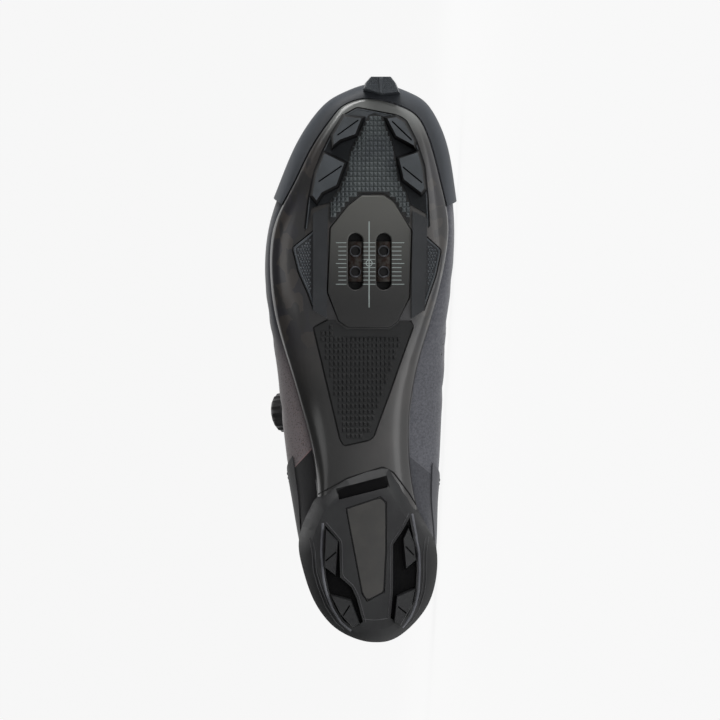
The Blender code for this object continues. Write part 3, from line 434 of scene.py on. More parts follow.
# %% Printed cleat plate
MARK_MIDDLE = 187.7
MARK_PITCH = 2.05
MARK_HALF = 0.16
CENTRE_LINE = 1.0

printed = Finish("cleat_paint", Metallic=0.3, Specular_IOR_Level=0.5)
spot = printed.place()
u, v, h = printed.split(spot)
row = (u - MARK_MIDDLE + MARK_PITCH / 2) % MARK_PITCH - MARK_PITCH / 2
lines = (abs(row) < MARK_HALF) * between(u, MARK_MIDDLE - 5.5 * MARK_PITCH, MARK_MIDDLE + 5.5 * MARK_PITCH)
row_of_five = (u - MARK_MIDDLE + 2.5 * MARK_PITCH) % (5 * MARK_PITCH) - 2.5 * MARK_PITCH
long_line = abs(row_of_five) < MARK_PITCH / 2
columns = between(v, -2.1, 4.1) + between(v, -14.2, -10.2) + between(v, 12.2, 17.0)
columns = columns + long_line * (between(v, -15.4, -14.1) + between(v, 16.9, 18.4))
centre = between(v, CENTRE_LINE - 0.25, CENTRE_LINE + 0.25) * between(u, 166, 208.5)
from_ring = ((u - 187.9) * (u - 187.9) + (v - CENTRE_LINE) * (v - CENTRE_LINE)).maths("SQRT")
ring = abs(from_ring - 1.5) < 0.18
marks = (lines * columns).highest(centre).highest(ring) * 0.7
brushed = printed.grain(printed.stretch(spot, (0.4, 6.0, 1.0)), 1.2, 3.0)
base = printed.mix(u.ramp(165, 226), tone("191919"), tone("4b4b48"))
printed.relief(brushed + printed.grain(spot, 5.0) * 0.5, 0.012)
PLATE = printed.paint(printed.mix(marks, base, tone("9aa5a3")), 0.40 + brushed * 0.10)

# %% [markdown]
# The threaded bars are plain darkened steel, brushed along their length. Their coat is
# worn brownish, which broad noise gives. The collars on them are turned, so they shine more.

# %% Darkened steel
steel = Finish("nut_steel_finish", Metallic=1.0)
spot = steel.place()
brushed = steel.grain(steel.stretch(spot, (0.5, 5.0, 5.0)), 2.0, 4.0)
steel.relief(brushed, 0.01)
worn = steel.grain(spot, 0.5, 3.0).ramp(0.35, 0.65)
STEEL = steel.paint(steel.mix(worn, tone("2b2320"), tone("3a3836")), 0.28 + brushed * 0.2)

bright = Finish("collar_steel", Metallic=1.0)
spot = bright.place()
turned = bright.grain(spot, 4.0, 3.0)
COLLARS = bright.paint(bright.mix(turned, tone("4a4b4e"), tone("626367")), 0.25 + turned * 0.12)

# %% [markdown]
# The inlay in the heel has the same lacquer as the plate, in a warmer and duller grey.

# %% Heel inlay
inlay = Finish("heel_inlay_finish", Coat_Weight=0.4, Coat_Roughness=0.3)
spot = inlay.place()
cloud = inlay.grain(spot, 0.12, 4.0)
inlay.relief(inlay.grain(spot, 3.0, 3.0), 0.015)
INLAY = inlay.paint(inlay.mix(cloud.ramp(0.3, 0.7), tone("1b1a18"), tone("252320")), 0.42)

# %% [markdown]
# The upper is a bonded textile that changes along the shoe: cool dark grey at the outer
# forefoot, a mauve-brown zone flecked with dots behind it, and a paler brushed grey on the
# inner side. Rows of small holes let the forefoot breathe. The zones are smooth steps along
# u and v, and the nap is two scales of noise.

# %% Textile upper
HOLE_PITCH = 5.1

textile = Finish("upper_textile", Sheen_Weight=0.25, Sheen_Roughness=0.5, Specular_IOR_Level=0.3)
spot = textile.place()
u, v, h = textile.split(spot)
nap = textile.grain(spot, 0.9, 6.0, 0.72)
fleck = textile.grain(spot, 1.3, 3.0, 0.7).ramp(0.54, 0.62)
medial = v.ramp(2, 10)
outer = textile.mix(u.ramp(133, 160), tone("655f61"), tone("34363c"))
outer = textile.mix(fleck * (1 - u.ramp(136, 160)) * 0.7, outer, tone("33292a"))
outer = textile.mix((1 - u.ramp(100, 150)) * nap.ramp(0.45, 0.7) * 0.35, outer, tone("75605c"))
inner = textile.mix(nap.ramp(0.3, 0.7), tone("4b4c52"), tone("66676d"))
past_outer = u + (0 - v) * 1.08 - 125.6
past_inner = u + v * 0.82 - 110.4
outer = textile.mix(1 - past_outer.ramp(-0.2, 0.2), outer, tone("151517"))
outer = textile.mix((abs(past_outer) < 0.35) * 0.6, outer, tone("8a6f70"))
inner = textile.mix((1 - past_inner.ramp(-0.3, 0.3)) * 0.5, inner, tone("26272b"))
inner = textile.mix((abs(past_inner + 0.6) < 0.5) * 0.35, inner, tone("77787e"))
colour = textile.mix(medial, outer, inner)
along = (u + HOLE_PITCH / 2) % HOLE_PITCH - HOLE_PITCH / 2
up_rows = (h + HOLE_PITCH / 2) % HOLE_PITCH - HOLE_PITCH / 2
from_hole = (along * along + up_rows * up_rows).maths("SQRT")
in_zone = between(u, 140, 222) * between(h, 22, 50)
hole = (1 - from_hole.ramp(0.35, 0.75)) * in_zone
textile.relief(nap * 0.6 - hole * 1.5, 0.22)
UPPER = textile.paint(textile.mix(hole * 0.9, colour, tone("101012")), 0.78)

# %% [markdown]
# Around heel and throat the upper carries smooth synthetic panels with a fine leather
# grain. The lining is a spacer mesh, and its small cells are a regular Voronoi pattern.
# The dial is a half glossy moulding, and the lace a braid of two crossed waves.

# %% Panels, lining, lace and dial
panel = Finish("smooth_panel", Specular_IOR_Level=0.4)
spot = panel.place()
pebble, _ = panel.cells(spot, 1.1)
panel.relief(pebble.ramp(0.1, 0.7) + panel.grain(spot, 2.0) * 0.6, 0.05)
black = panel.mix(panel.grain(spot, 0.1).ramp(0.3, 0.7), tone("161618"), tone("1d1d20"))
u, v, h = panel.split(spot)
inner_heel = v.ramp(2, 10) * (u < 100)
PANEL = panel.paint(panel.mix(inner_heel, black, tone("505156")), 0.55)

mesh_lining = Finish("mesh_lining", Sheen_Weight=0.4, Specular_IOR_Level=0.2)
spot = mesh_lining.place()
cell, _ = mesh_lining.cells(spot, 0.75, "EUCLIDEAN", 0.25)
mesh_lining.relief(cell.ramp(0.2, 0.6), 0.35)
LINING = mesh_lining.paint(mesh_lining.mix(cell.ramp(0.15, 0.55), tone("17171a"), tone("34343a")), 0.9)

moulded = Finish("dial_moulding", Specular_IOR_Level=0.5)
spot = moulded.place()
fine = moulded.grain(spot, 6.0, 3.0)
moulded.relief(fine, 0.03)
MOULDING = moulded.paint(moulded.mix(fine, tone("0e0e10"), tone("151517")), 0.36 + fine * 0.1)

woven = Finish("woven_lace", Sheen_Weight=0.2, Specular_IOR_Level=0.3)
spot = woven.place()
u, v, h = woven.split(spot)
braid = ((u + v) * 6.0).wave() * ((v - u) * 6.0).wave()
woven.relief(braid, 0.12)
LACE = woven.paint(woven.mix(braid.ramp(-0.4, 0.5), tone("1b1b1e"), tone("3a3a3f")), 0.6)

# %% [markdown]
# ## The upper and its panels
#
# The CAD upper is a true hollow shell, but it is faceted. Its copy becomes quads again and
# gets a subdivision surface, which keeps the form and gives an even, flowing skin. Sharp
# edges are bevelled first so that they stay crisp. The same goes for the panels on it.

# %% Smooth the upper
upper = made("lasted_upper", copied("upper"), "upper_skin", UPPER, ["upper"])
flowing(rounded(upper, 0.35))

# %% [markdown]
# A worn-in shoe folds where the ball of the foot bends. The creases are listed as short
# lines on the side walls: start and end along the shoe and up it, depth, and half
# width. The smoothed skin's own points are pressed in along them, with a soft swell beside
# each fold. Both skins of the wall move together, so the thickness stays.

# %% Creases at the ball and the arch
CREASES = {
    1: (((134, 22), (143, 34), 0.6, 3.0), ((141, 20), (153, 40), 0.5, 3.6),
        ((150, 22), (166, 38), 0.6, 3.8), ((163, 28), (178, 48), 0.6, 4.0),
        ((120, 26), (128, 40), 0.4, 3.4), ((180, 26), (188, 42), 0.5, 3.8)),
    -1: (((150, 26), (160, 42), 0.4, 3.6), ((164, 26), (176, 46), 0.5, 3.8),
         ((178, 30), (190, 50), 0.4, 4.0), ((112, 30), (122, 44), 0.4, 3.4)),
}


def pressed(u, h, side):
    """How far the wall is pressed in at a place on one side."""
    depth = 0.0
    for start, end, deep, wide in CREASES[side]:
        a, b, here = Vector(start), Vector(end), Vector((u, h))
        share = max(0.0, min(1.0, (here - a).dot(b - a) / (b - a).length_squared))
        away = (here - a.lerp(b, share)).length / wide
        taper = 1 - (2 * share - 1) ** 4 * 0.6
        depth += deep * taper * (2.718 ** -(away * away) - 0.35 * 2.718 ** -((away - 1.8) ** 2))
    return depth


bpy.context.view_layer.update()
skin = bmesh.new()
skin.from_mesh(upper.evaluated_get(bpy.context.evaluated_depsgraph_get()).to_mesh())
skin.transform(TO_SHOE)
for vert in skin.verts:
    side = 1 if vert.co.y > -2 else -1
    if abs(vert.co.y + 2) > 18 and 16 < vert.co.z < 60:
        vert.co.y -= side * pressed(vert.co.x, vert.co.z, side)
upper.modifiers.clear()
skin.transform(TO_ROW)
skin.to_mesh(upper.data)
print("upper skin:", len(skin.faces), "faces")
skin.free()

# %% [markdown]
# The other skins get the same bevel and subdivision. The counter is drawn in a little
# first, so that its smoothed bulge and its stitches stay within the CAD's outline.

# %% Smooth the guard, counter, eyestay and linings
COUNTER_MIDDLE, DRAWN_IN = 45, 0.45
bm = copied("heel_counter")
for vert in bm.verts:
    away = Vector((min(vert.co.x - COUNTER_MIDDLE, 0), vert.co.y, 0)).normalized()
    vert.co -= away * DRAWN_IN
flowing(rounded(made("heel_counter_skin", bm, "panel", PANEL, ["heel_counter"]), 0.25))
for name, slot, finish, source in (
    ("toe_guard_skin", "guard", GUARD, "toe_guard"),
    ("eyestay_skin", "panel", PANEL, "eyestay"),
    ("collar_padding", "lining", LINING, "collar_pad"),
    ("tongue_padding", "lining", LINING, "tongue"),
    ("foot_bed", "lining", LINING, "insole"),
):
    soft = flowing(rounded(made(name, copied(source), slot, finish, [source]), 0.25))
    source in ("collar_pad", "tongue")

# %% [markdown]
# ## The sole
#
# The plate's long bevels catch the light, so they have to flow. Its copy is subdivided with
# the rim of the cleat well creased, so that the well keeps its corners.

# %% Sole plate
bm = copied("sole_plate")
crease = bm.edges.layers.float.new("crease_edge")
for edge in bm.edges:
    bend = edge.calc_face_angle(0)
    edge[crease] = 1.0 if bend > radians(50) else 0.75 if bend > radians(24) else 0.0
sole = flowing(made("composite_sole", bm, "carbon", COMPOSITE, ["sole_plate"], 60))


def dressed(obj):
    """The search tree of a finished piece, its modifiers included."""
    bpy.context.view_layer.update()
    shown = obj.evaluated_get(bpy.context.evaluated_depsgraph_get())
    bm = bmesh.new()
    bm.from_mesh(shown.to_mesh())
    bm.transform(TO_SHOE)
    tree = BVHTree.FromBMesh(bm)
    shown.to_mesh_clear()
    bm.free()
    return tree


trees["sole"] = dressed(sole)
print("smoothed underside at the arch:", round(below("sole", 120, 0), 2), "mm")

# %% [markdown]
# The eyestay and the counter are sewn down. To find where, the border of a panel's outer
# faces is walked once round. A face is outer where it looks away from a line through the
# middle of the foot, which starts in the heel.

# %% Walk round a panel
FOOT_START, FOOT_V, FOOT_H = 50, -2, 36


def borders(bm):
    """Closed walks round the outer faces of a panel: corner points and ways inwards."""
    outer = set()
    for face in bm.faces:
        middle = face.calc_center_median()
        away = middle - Vector((max(middle.x, FOOT_START), FOOT_V, FOOT_H))
        if face.normal.dot(away.normalized()) > 0.35:
            outer.add(face)
    links = {}
    for edge in bm.edges:
        owners = [face for face in edge.link_faces if face in outer]
        if len(owners) == 1:
            a, b = edge.verts
            links.setdefault(a, {})[b] = owners[0]
            links.setdefault(b, {})[a] = owners[0]
    while links:
        here = next(iter(links))
        walk = []
        while links.get(here):
            ahead, face = links[here].popitem()
            links[ahead].pop(here, None)
            run = (ahead.co - here.co).normalized()
            inward = face.calc_center_median() - here.co
            walk.append((here.co.copy(), ahead.co.copy(), (inward - run * inward.dot(run)).normalized()))
            here = ahead
        links = {vert: rest for vert, rest in links.items() if rest}
        yield walk


# %% [markdown]
# A small stitch is set every few millimetres just inside the border, turned along the edge
# and seated on the smoothed panel. The counter's lower rows would be hidden by the heel's
# rubber, so each panel has a lowest height.

# %% Stitches
STITCH_PITCH, STITCH_INSET, STITCH_LIFT = 3.3, 1.9, 0.05
HALF_STITCH = (0.3, 0.3, 1.15)


def sewn(name, source, piece, lowest):
    """Rows of stitches inside the edges of a panel, above a height."""
    tree = dressed(bpy.data.objects[piece])
    panel_bm, thread = copied(source), bmesh.new()
    for walk in borders(panel_bm):
        left = 0.0
        for start, end, inward in walk:
            run = end - start
            while left < run.length:
                mark = start + run.normalized() * left + inward * STITCH_INSET
                spot, normal, _, _ = tree.find_nearest(mark)
                left += STITCH_PITCH
                if spot.z < lowest:
                    continue
                turn = run.to_track_quat("Z", "X").to_matrix().to_4x4()
                place = Matrix.Translation(spot + normal * STITCH_LIFT) @ turn
                place = place @ Matrix.Diagonal((*HALF_STITCH, 1))
                bmesh.ops.create_icosphere(thread, subdivisions=2, radius=1, matrix=place)
            left -= run.length
    print(name, "has", len(thread.verts) // 42, "stitches")
    panel_bm.free()
    return made(name, thread, "lace", LACE, (), 180)


sewn("eyestay_stitches", "eyestay", "eyestay_skin", 30)
sewn("counter_stitches", "heel_counter", "heel_counter_skin", 34)

# %% [markdown]
# Tread, wings and inlays keep their CAD solids. Moulded rubber never has a razor edge, so a
# small bevel rounds each one and gives the thin lights that show a lug's shape.

# %% Round the moulded pieces
for name, slot, finish, width in (
    ("forefoot_tread", "rubber", TREAD, 0.35), ("front_grip_pad", "rubber", INSET, 0.25),
    ("wing_lateral", "rubber", WINGS, 0.45), ("wing_medial", "rubber", WINGS, 0.45),
    ("arch_inlay", "rubber", INSET, 0.2), ("cleat_plate", "plate", PLATE, 0.5),
    ("heel_inlay", "plate", INLAY, 0.6), ("toe_stud", "rubber", STUDS, 1.0),
    ("dial_base", "dial_plastic", MOULDING, 0.4),
):
    piece = made(name + "_moulded", copied(name), slot, finish, [name], 30)
    rounded(piece, width, 2, 28)

# %% [markdown]
# The heel's rubber has the same bevel, but its outline is the shoe's own silhouette, so the
# corners between its wall faces would show. The wall edges are cut into four and the new
# points eased towards their neighbours along the outline, which leaves the lugs untouched.

# %% Round the heel's outline
bm = copied("heel_tread")
HEEL_MIDDLE = Vector((45, 1, 0))


def on_wall(face):
    out = face.calc_center_median() - HEEL_MIDDLE
    out.z = 0
    near = abs(out.y) > 22 or out.x < -22
    return near and face.normal.xy.length > 0.35 and face.normal.xy.dot(out.xy) > 0


wall = {face for face in bm.faces if on_wall(face)}
lying = [edge for edge in bm.edges if any(face in wall for face in edge.link_faces)
         and abs((edge.verts[0].co - edge.verts[1].co).normalized().z) < 0.5 and edge.calc_length() > 2]
bmesh.ops.subdivide_edges(bm, edges=lying, cuts=3, use_grid_fill=True)
chains = {}
for vert in bm.verts:
    sides = [edge.other_vert(vert) for edge in vert.link_edges if any(on_wall(f) for f in edge.link_faces)
             and abs((edge.verts[0].co - edge.verts[1].co).normalized().z) < 0.5]
    if len(sides) == 2:
        chains[vert] = sides
for _ in range(5):
    eased = {vert: vert.co * 0.5 + (a.co + b.co) * 0.25 for vert, (a, b) in chains.items()
             if (a.co - vert.co).normalized().dot((b.co - vert.co).normalized()) < -0.9}
    for vert, spot in eased.items():
        vert.co = spot
print("wall points eased:", len(chains))
rounded(made("heel_tread_moulded", bm, "rubber", HEEL, ["heel_tread"], 30), 0.45, 2, 28)


# %% [markdown]
# Fine lines are everywhere on this sole: black joints where rubber meets the plate, thin
# raised lips along the moulded edges, and two ridges round the heel. Their outlines are
# percentages of the shoe's length and width, as in the CAD part, so they follow its edges.

# %% Outlines on the sole
LENGTH, WIDTH = 280.0, 95.0
FRAME = ((73.2, -31.9), (78.2, -30.3), (83.0, -27.3), (87.0, -22.8), (90.1, -18.3), (93.3, -12.3),
         (94.7, -5.3), (93.3, 15.8), (92.5, 20.0), (88.7, 25.5), (84.3, 29.6), (78.2, 31.3), (73.6, 31.9))
FLANK_LATERAL = ((72.8, -27.5), (69.8, -38.6), (65.6, -35.6), (61.8, -30.6), (58.9, -27.5))
FLANK_MEDIAL = ((71.9, 30.0), (69.4, 38.3), (65.0, 35.6), (58.8, 29.2))
ARCH = ((57.0, -20.3), (55.7, -27.6), (51.9, -24.9), (46.6, -21.2), (41.3, -17.5), (36.0, -13.8),
        (34.9, -12.0), (35.9, 1.1), (36.5, 3.3), (39.3, 6.2), (45.1, 12.5), (50.4, 17.9), (56.1, 24.0),
        (56.9, 22.3))
RIM_LATERAL = ((75.2, -47.6), (72.0, -49.3), (68.8, -50.3), (65.0, -50.6), (60.7, -49.1), (57.0, -47.1),
               (53.0, -44.2), (49.4, -40.8), (45.4, -37.2), (41.8, -33.9), (38.2, -31.3), (34.1, -28.0),
               (30.7, -26.5), (26.8, -25.0))
RIM_MEDIAL = ((77.0, 42.8), (73.8, 42.3), (70.7, 41.6), (67.0, 39.9), (61.4, 36.4), (57.7, 33.5),
              (54.4, 30.5), (51.1, 27.6), (47.5, 24.6), (44.5, 22.9), (41.2, 21.4), (37.9, 20.9),
              (34.6, 21.0), (31.6, 21.7), (28.9, 22.6))
print("outline points:", sum(map(len, (FRAME, FLANK_LATERAL, FLANK_MEDIAL, ARCH, RIM_LATERAL, RIM_MEDIAL))))

# %% [markdown]
# Each line is a slim cord. It runs through an outline that may be moved sideways, and is
# seated on the surface below it every few millimetres. A lift above zero raises it.


# %% Lay a line on a surface
def moved_out(shares, distance):
    """An outline in millimetres, each point shifted to the side by a distance."""
    points = [Vector((a * LENGTH / 100, b * WIDTH / 100)) for a, b in shares]
    shifted = []
    for i, point in enumerate(points):
        ahead, behind = points[min(i + 1, len(points) - 1)], points[max(i - 1, 0)]
        run = (ahead - behind).normalized()
        shifted.append(point + Vector((run.y, -run.x)) * distance)
    return shifted


def line_on(name, outline, radius, source, lift, finish):
    """A slim cord through an outline, seated every few millimetres on a surface."""
    spots = []
    for start, end in zip(outline, outline[1:]):
        steps = max(1, int((end - start).length / 2.5))
        spots += [start.lerp(end, i / steps) for i in range(steps)]
    spots.append(outline[-1])
    levels = [(spot, below(source, spot.x, spot.y)) for spot in spots]
    seated = [Vector((spot.x, spot.y, level - lift)) for spot, level in levels if level is not None]
    curve = bpy.data.curves.new(name, "CURVE")
    curve.dimensions = "3D"
    curve.bevel_depth = radius * MM
    curve.bevel_resolution = 2
    curve.resolution_u = 2
    line = curve.splines.new("NURBS")
    line.points.add(len(seated) - 1)
    for point, spot in zip(line.points, seated):
        point.co = (*(TO_ROW @ spot), 1)
    line.use_endpoint_u = True
    line.order_u = 3
    curve.materials.append(finish)
    obj = bpy.data.objects.new(name, curve)
    bpy.context.scene.collection.objects.link(obj)
    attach(obj, "root")
    return obj


# %% [markdown]
# The plate's rim carries a thin light cord on each side, a painted highlight along its edge.
# The tread frame, its two flanks and the arch panel have a black joint outside, and the frame
# and flanks a lip inside. The rubber stands proud of the plate by the tread step.

# %% Joints and lips of the tread
TREAD_STEP = 1.6
line_on("rim_highlight_lateral", moved_out(RIM_LATERAL, -0.9), 0.22, "sole", -0.08, RIM)
line_on("rim_highlight_medial", moved_out(RIM_MEDIAL, 0.9), 0.22, "sole", -0.08, RIM)
line_on("frame_joint", moved_out(FRAME, 0.55), 0.38, "sole", 0.0, BLACK)
line_on("frame_lip", moved_out(FRAME, -0.35), 0.30, "sole_plate", TREAD_STEP, STUDS)
for side, flank, out in (("lateral", FLANK_LATERAL, -1), ("medial", FLANK_MEDIAL, 1)):
    line_on(f"flank_joint_{side}", moved_out(flank, out * 0.45), 0.32, "sole", 0.0, BLACK)
    line_on(f"flank_lip_{side}", moved_out(flank, -out * 0.6), 0.55, "sole_plate", TREAD_STEP, STUDS)
line_on("arch_joint", moved_out(ARCH, -0.4), 0.42, "sole", 0.0, BLACK)

# %% [markdown]
# On the heel two ridges run beside each other down both sides, in a lighter rubber that is a
# painted highlight. The outer edge of a lug pocket carries a broad light cord, a painted
# highlight in the shape of a crescent. The block between the pockets has thin lips, light as a
# painted highlight too, and the inlay lies in a black joint.

# %% Edges of the heel
HEEL_FRONT = ((20.4, -34.2), (23.9, -29.5), (26.1, -25.0), (28.9, -10.3), (30.9, 8.4), (30.0, 13.4),
              (26.1, 21.9), (20.7, 31.0))
RIDGE_LATERAL = ((18.6, -30.1), (16.2, -28.6), (12.8, -28.0), (9.9, -25.6), (6.4, -21.5), (3.6, -16.0),
                 (2.4, -12.0))
RIDGE_MEDIAL = ((18.6, 32.0), (16.2, 30.9), (11.7, 30.7), (8.9, 29.8), (5.7, 26.6), (3.6, 22.7), (2.6, 19.6))
POCKET_LATERAL = ((21.2, -22.1), (16.2, -22.9), (11.4, -21.7), (9.1, -20.3), (6.3, -16.9), (3.9, -12.6),
                  (2.5, -7.6))
POCKET_MEDIAL = ((22.7, 22.4), (18.6, 24.6), (16.0, 26.1), (12.8, 26.4), (9.4, 25.8), (6.8, 24.1),
                 (4.9, 21.8), (3.0, 17.7))
BLOCK_LATERAL = ((21.2, -22.1), (18.0, -14.0), (11.8, -13.5), (10.0, -7.6), (8.0, -4.9), (3.7, -1.5))
BLOCK_MEDIAL = ((22.7, 22.4), (19.5, 17.1), (17.6, 13.0), (8.9, 12.9), (4.4, 11.6))
BLOCK_END = ((4.3, -2.1), (4.1, 4.2), (4.4, 10.5))
INLAY_EDGE = ((23.8, -10.7), (25.8, 6.8), (24.9, 10.0), (16.2, 10.0), (9.1, 8.9), (7.5, 0.0), (8.8, -2.6),
              (23.0, -10.5), (23.8, -10.7))

line_on("heel_joint", moved_out(HEEL_FRONT, 0.5), 0.4, "sole", 0.0, BLACK)
for step in (0.0, 1.5):
    line_on(f"heel_ridge_lateral_{step:.0f}", moved_out(RIDGE_LATERAL, step), 0.28, "heel_tread", 0.0, LIP_HIGHLIGHT)
    line_on(f"heel_ridge_medial_{step:.0f}", moved_out(RIDGE_MEDIAL, -step), 0.28, "heel_tread", 0.0, LIP_HIGHLIGHT)
line_on("pocket_highlight_lateral", moved_out(POCKET_LATERAL, -0.9), 0.8, "heel_tread", -0.45, CRESCENT_HIGHLIGHT)
line_on("pocket_highlight_medial", moved_out(POCKET_MEDIAL, 0.9), 0.8, "heel_tread", -0.45, CRESCENT_HIGHLIGHT)
line_on("block_edge_lateral", moved_out(BLOCK_LATERAL, 0.8), 0.3, "heel_tread", -0.05, LIP_HIGHLIGHT)
line_on("block_edge_medial", moved_out(BLOCK_MEDIAL, -0.8), 0.3, "heel_tread", -0.05, LIP_HIGHLIGHT)
line_on("inlay_joint", moved_out(INLAY_EDGE, -0.25), 0.38, "heel_inlay", -0.2, BLACK)
line_on("block_edge", moved_out(BLOCK_END, 0), 0.25, "heel_tread", 0.0, LIP_HIGHLIGHT)

# %% [markdown]
# The grip pad is a field of small pyramids, and the arch and the wings carry finer dots.
# Each fills a cell of a grid. Where a grid has a negative margin, the cells at the border
# are narrowed to the room that rays find there, so the rows end along a slanted outline.


# %% Fit a cell to a piece
def room_across(source, u, v, pitch, margin):
    """The part of a cell's width that lies on the piece: its middle and its width."""
    if margin > 0:
        return v, pitch[1]
    held = []
    reach = pitch[0] / 2 + margin
    for step in range(11):
        side = v + (step / 10 - 0.5) * pitch[1]
        if None not in [below(source, u + a * reach, side) for a in (-1, 0, 1)]:
            held.append(side)
    if len(held) < 5:
        return v, 0
    return (held[0] + held[-1]) / 2, held[-1] - held[0]


# %% [markdown]
# A pyramid is a four-sided cone, sheared to the slope that carries it. It is kept only
# where its corners lie on the piece, and the ground is neither steep nor bent.

# %% A field of pyramids
STEEPEST, MOST_BENT = 0.5, 0.3
SUNK = 0.05
CORNER = 0.7071


def studded(name, source, pitch, height, tip, margin, keep, stagger):
    """A field of pyramids over the underside of a CAD node."""
    points = [TO_SHOE @ vert.co for vert in node[source].data.vertices]
    first_u, last_u = min(p.x for p in points), max(p.x for p in points)
    first_v, last_v = min(p.y for p in points), max(p.y for p in points)
    bm = bmesh.new()
    for i in range(int((last_u - first_u) / pitch[0]) + 1):
        for j in range(int((last_v - first_v) / pitch[1]) + 2):
            u = first_u + (i + 0.5) * pitch[0]
            v = first_v + (j + (0.5 if stagger and i % 2 else 0)) * pitch[1]
            v, width = room_across(source, u, v, pitch, margin)
            if width == 0:
                continue
            here = below(source, u, v)
            before, after = (below(source, u + side * pitch[0] * 0.5, v) for side in (-1, 1))
            left, right = (below(source, u, v + side * width * 0.49) for side in (-1, 1))
            rim = [below(source, u + a * (pitch[0] / 2 + margin), v + b * (width / 2 + margin))
                   for a in (-1, 1) for b in (-1, 1)]
            if None in (here, before, after, left, right, *rim) or keep and not keep(u, v):
                continue
            along, across = (after - before) / pitch[0], (right - left) / width
            if max(abs(along), abs(across)) > STEEPEST:
                continue
            if max(abs(before + after - 2 * here), abs(left + right - 2 * here)) > MOST_BENT:
                continue
            tilt = Matrix(((1, 0, 0, 0), (0, 1, 0, 0), (along, across, 1, 0), (0, 0, 0, 1)))
            place = Matrix.Translation((u, v, here - height / 2 + SUNK)) @ tilt @ Matrix.Diagonal(
                (pitch[0], width, 1, 1)) @ Matrix.Rotation(radians(45), 4, "Z")
            bmesh.ops.create_cone(bm, cap_ends=True, cap_tris=False, segments=4, radius1=CORNER * tip,
                                  radius2=CORNER, depth=height + 2 * SUNK, matrix=place)
    print(name, "has", len(bm.verts) // 8, "pyramids")
    return bm


# %% [markdown]
# Each field has its piece, pitch along and across, height, share left at the tip, margin,
# a test for where it may go, whether every second row is shifted, and its finish.


# %% Pyramids and dots
def clear_of_plate(u, v):
    """The cleat plate's rear end covers the front of the arch panel."""
    return u < 152.5 or u < 159.5 and not -17.5 < v < 20


for name, source, pitch, height, tip, margin, keep, stagger, finish in (
    ("pad_pyramids", "front_grip_pad", (2.53, 2.03), 1.3, 0.08, -0.4, None, False, PYRAMIDS),
    ("arch_dots", "arch_inlay", (3.0, 2.1), 0.55, 0.3, 0.7, clear_of_plate, False, INSET),
    ("wing_dots_lateral", "wing_lateral", (1.5, 1.3), 0.35, 0.3, 0.5, lambda u, v: v < -27.6, True, STUDS),
    ("wing_dots_medial", "wing_medial", (1.5, 1.3), 0.35, 0.3, 0.5, lambda u, v: v > 30.0, True, STUDS),
    ("stud_hatching", "toe_stud", (0.9, 0.9), 0.22, 0.3, 0.2, None, False, STUDS),
):
    dots = studded(name, source, pitch, height, tip, margin, keep, stagger)
    made(name, dots, "rubber", finish, (), 20)

# %% [markdown]
# Behind each slot sits a steel bar with two threaded collars for the cleat's bolts. The
# collar is one half-section spun round the bolt's axis: a chamfered rim outside and a saw
# of thread inside, so the light catches real turns of thread.

# %% Threaded bars
CLEAT = Vector((188.72, 1.235, 0))
SLOT_PITCH, NUT_PITCH = 14.0, 10.3
BAR_FRONT, BAR_BACK = 8.3, 9.9
COLLAR_FRONT = 7.0
BORE, COLLAR = 2.15, 2.95


def threaded_collar(bm, centre):
    rim = [(COLLAR, BAR_BACK), (COLLAR, COLLAR_FRONT + 0.25), (COLLAR - 0.25, COLLAR_FRONT),
           (BORE + 0.3, COLLAR_FRONT)]
    turns = [(BORE + (0.28 if i % 2 else 0), COLLAR_FRONT + 0.3 + i * 0.25) for i in range(11)]
    verts = [bm.verts.new(centre + Vector((r, 0, z))) for r, z in rim + turns]
    edges = [bm.edges.new(pair) for pair in zip(verts, verts[1:])]
    bmesh.ops.spin(bm, geom=verts + edges, cent=centre, axis=UP, angle=2 * pi, steps=40, use_merge=True)


bars, collars, shadow = bmesh.new(), bmesh.new(), bmesh.new()
for side in (-1, 1):
    middle = CLEAT + Vector((0, side * SLOT_PITCH / 2, 0))
    size = Matrix.Diagonal((20.0, 9.6, BAR_BACK - BAR_FRONT, 1))
    bar = bmesh.ops.create_cube(bars, size=1, matrix=Matrix.Translation(
        middle + UP * (BAR_FRONT + BAR_BACK) / 2) @ size)
    edges = {edge for vert in bar["verts"] for edge in vert.link_edges}
    bmesh.ops.bevel(bars, geom=list(edges), offset=0.3, affect="EDGES", segments=2, profile=0.5,
                    material=-1)
    # Painted shadow: a black sheet closes the back of each slot, and a black disc sits in each bore.
    floor = Matrix.Translation(middle + UP * 10.1) @ Matrix.Diagonal((29.5, 9.6, 1, 1))
    bmesh.ops.create_grid(shadow, x_segments=1, y_segments=1, size=0.5, matrix=floor)
    for end in (-1, 1):
        bolt = middle + Vector((end * NUT_PITCH / 2, 0, 0))
        threaded_collar(collars, bolt)
        bmesh.ops.create_circle(shadow, cap_ends=True, segments=24, radius=BORE + 0.3,
                                matrix=Matrix.Translation(bolt + UP * (BAR_FRONT - 0.1)))
bmesh.ops.remove_doubles(collars, verts=collars.verts, dist=0.01)
bmesh.ops.recalc_face_normals(collars, faces=collars.faces)
bmesh.ops.reverse_faces(shadow, faces=[face for face in shadow.faces if face.normal.z > 0])
made("nut_bars", bars, "nut_steel", STEEL, ["nut_bar_lateral", "nut_bar_medial"])
made("nut_collars", collars, "nut_steel", COLLARS)
made("slot_shadow", shadow, "nut_steel", BLACK)

# %% [markdown]
# The stud under the toe tip has a rib down its middle that widens towards the tip. A block
# is cut across and each of its points is lowered onto the stud.

# %% Rib of the toe stud
RIB_V = 6.9
RIB_BACK = 272.3
LOWEST_STUD = 22

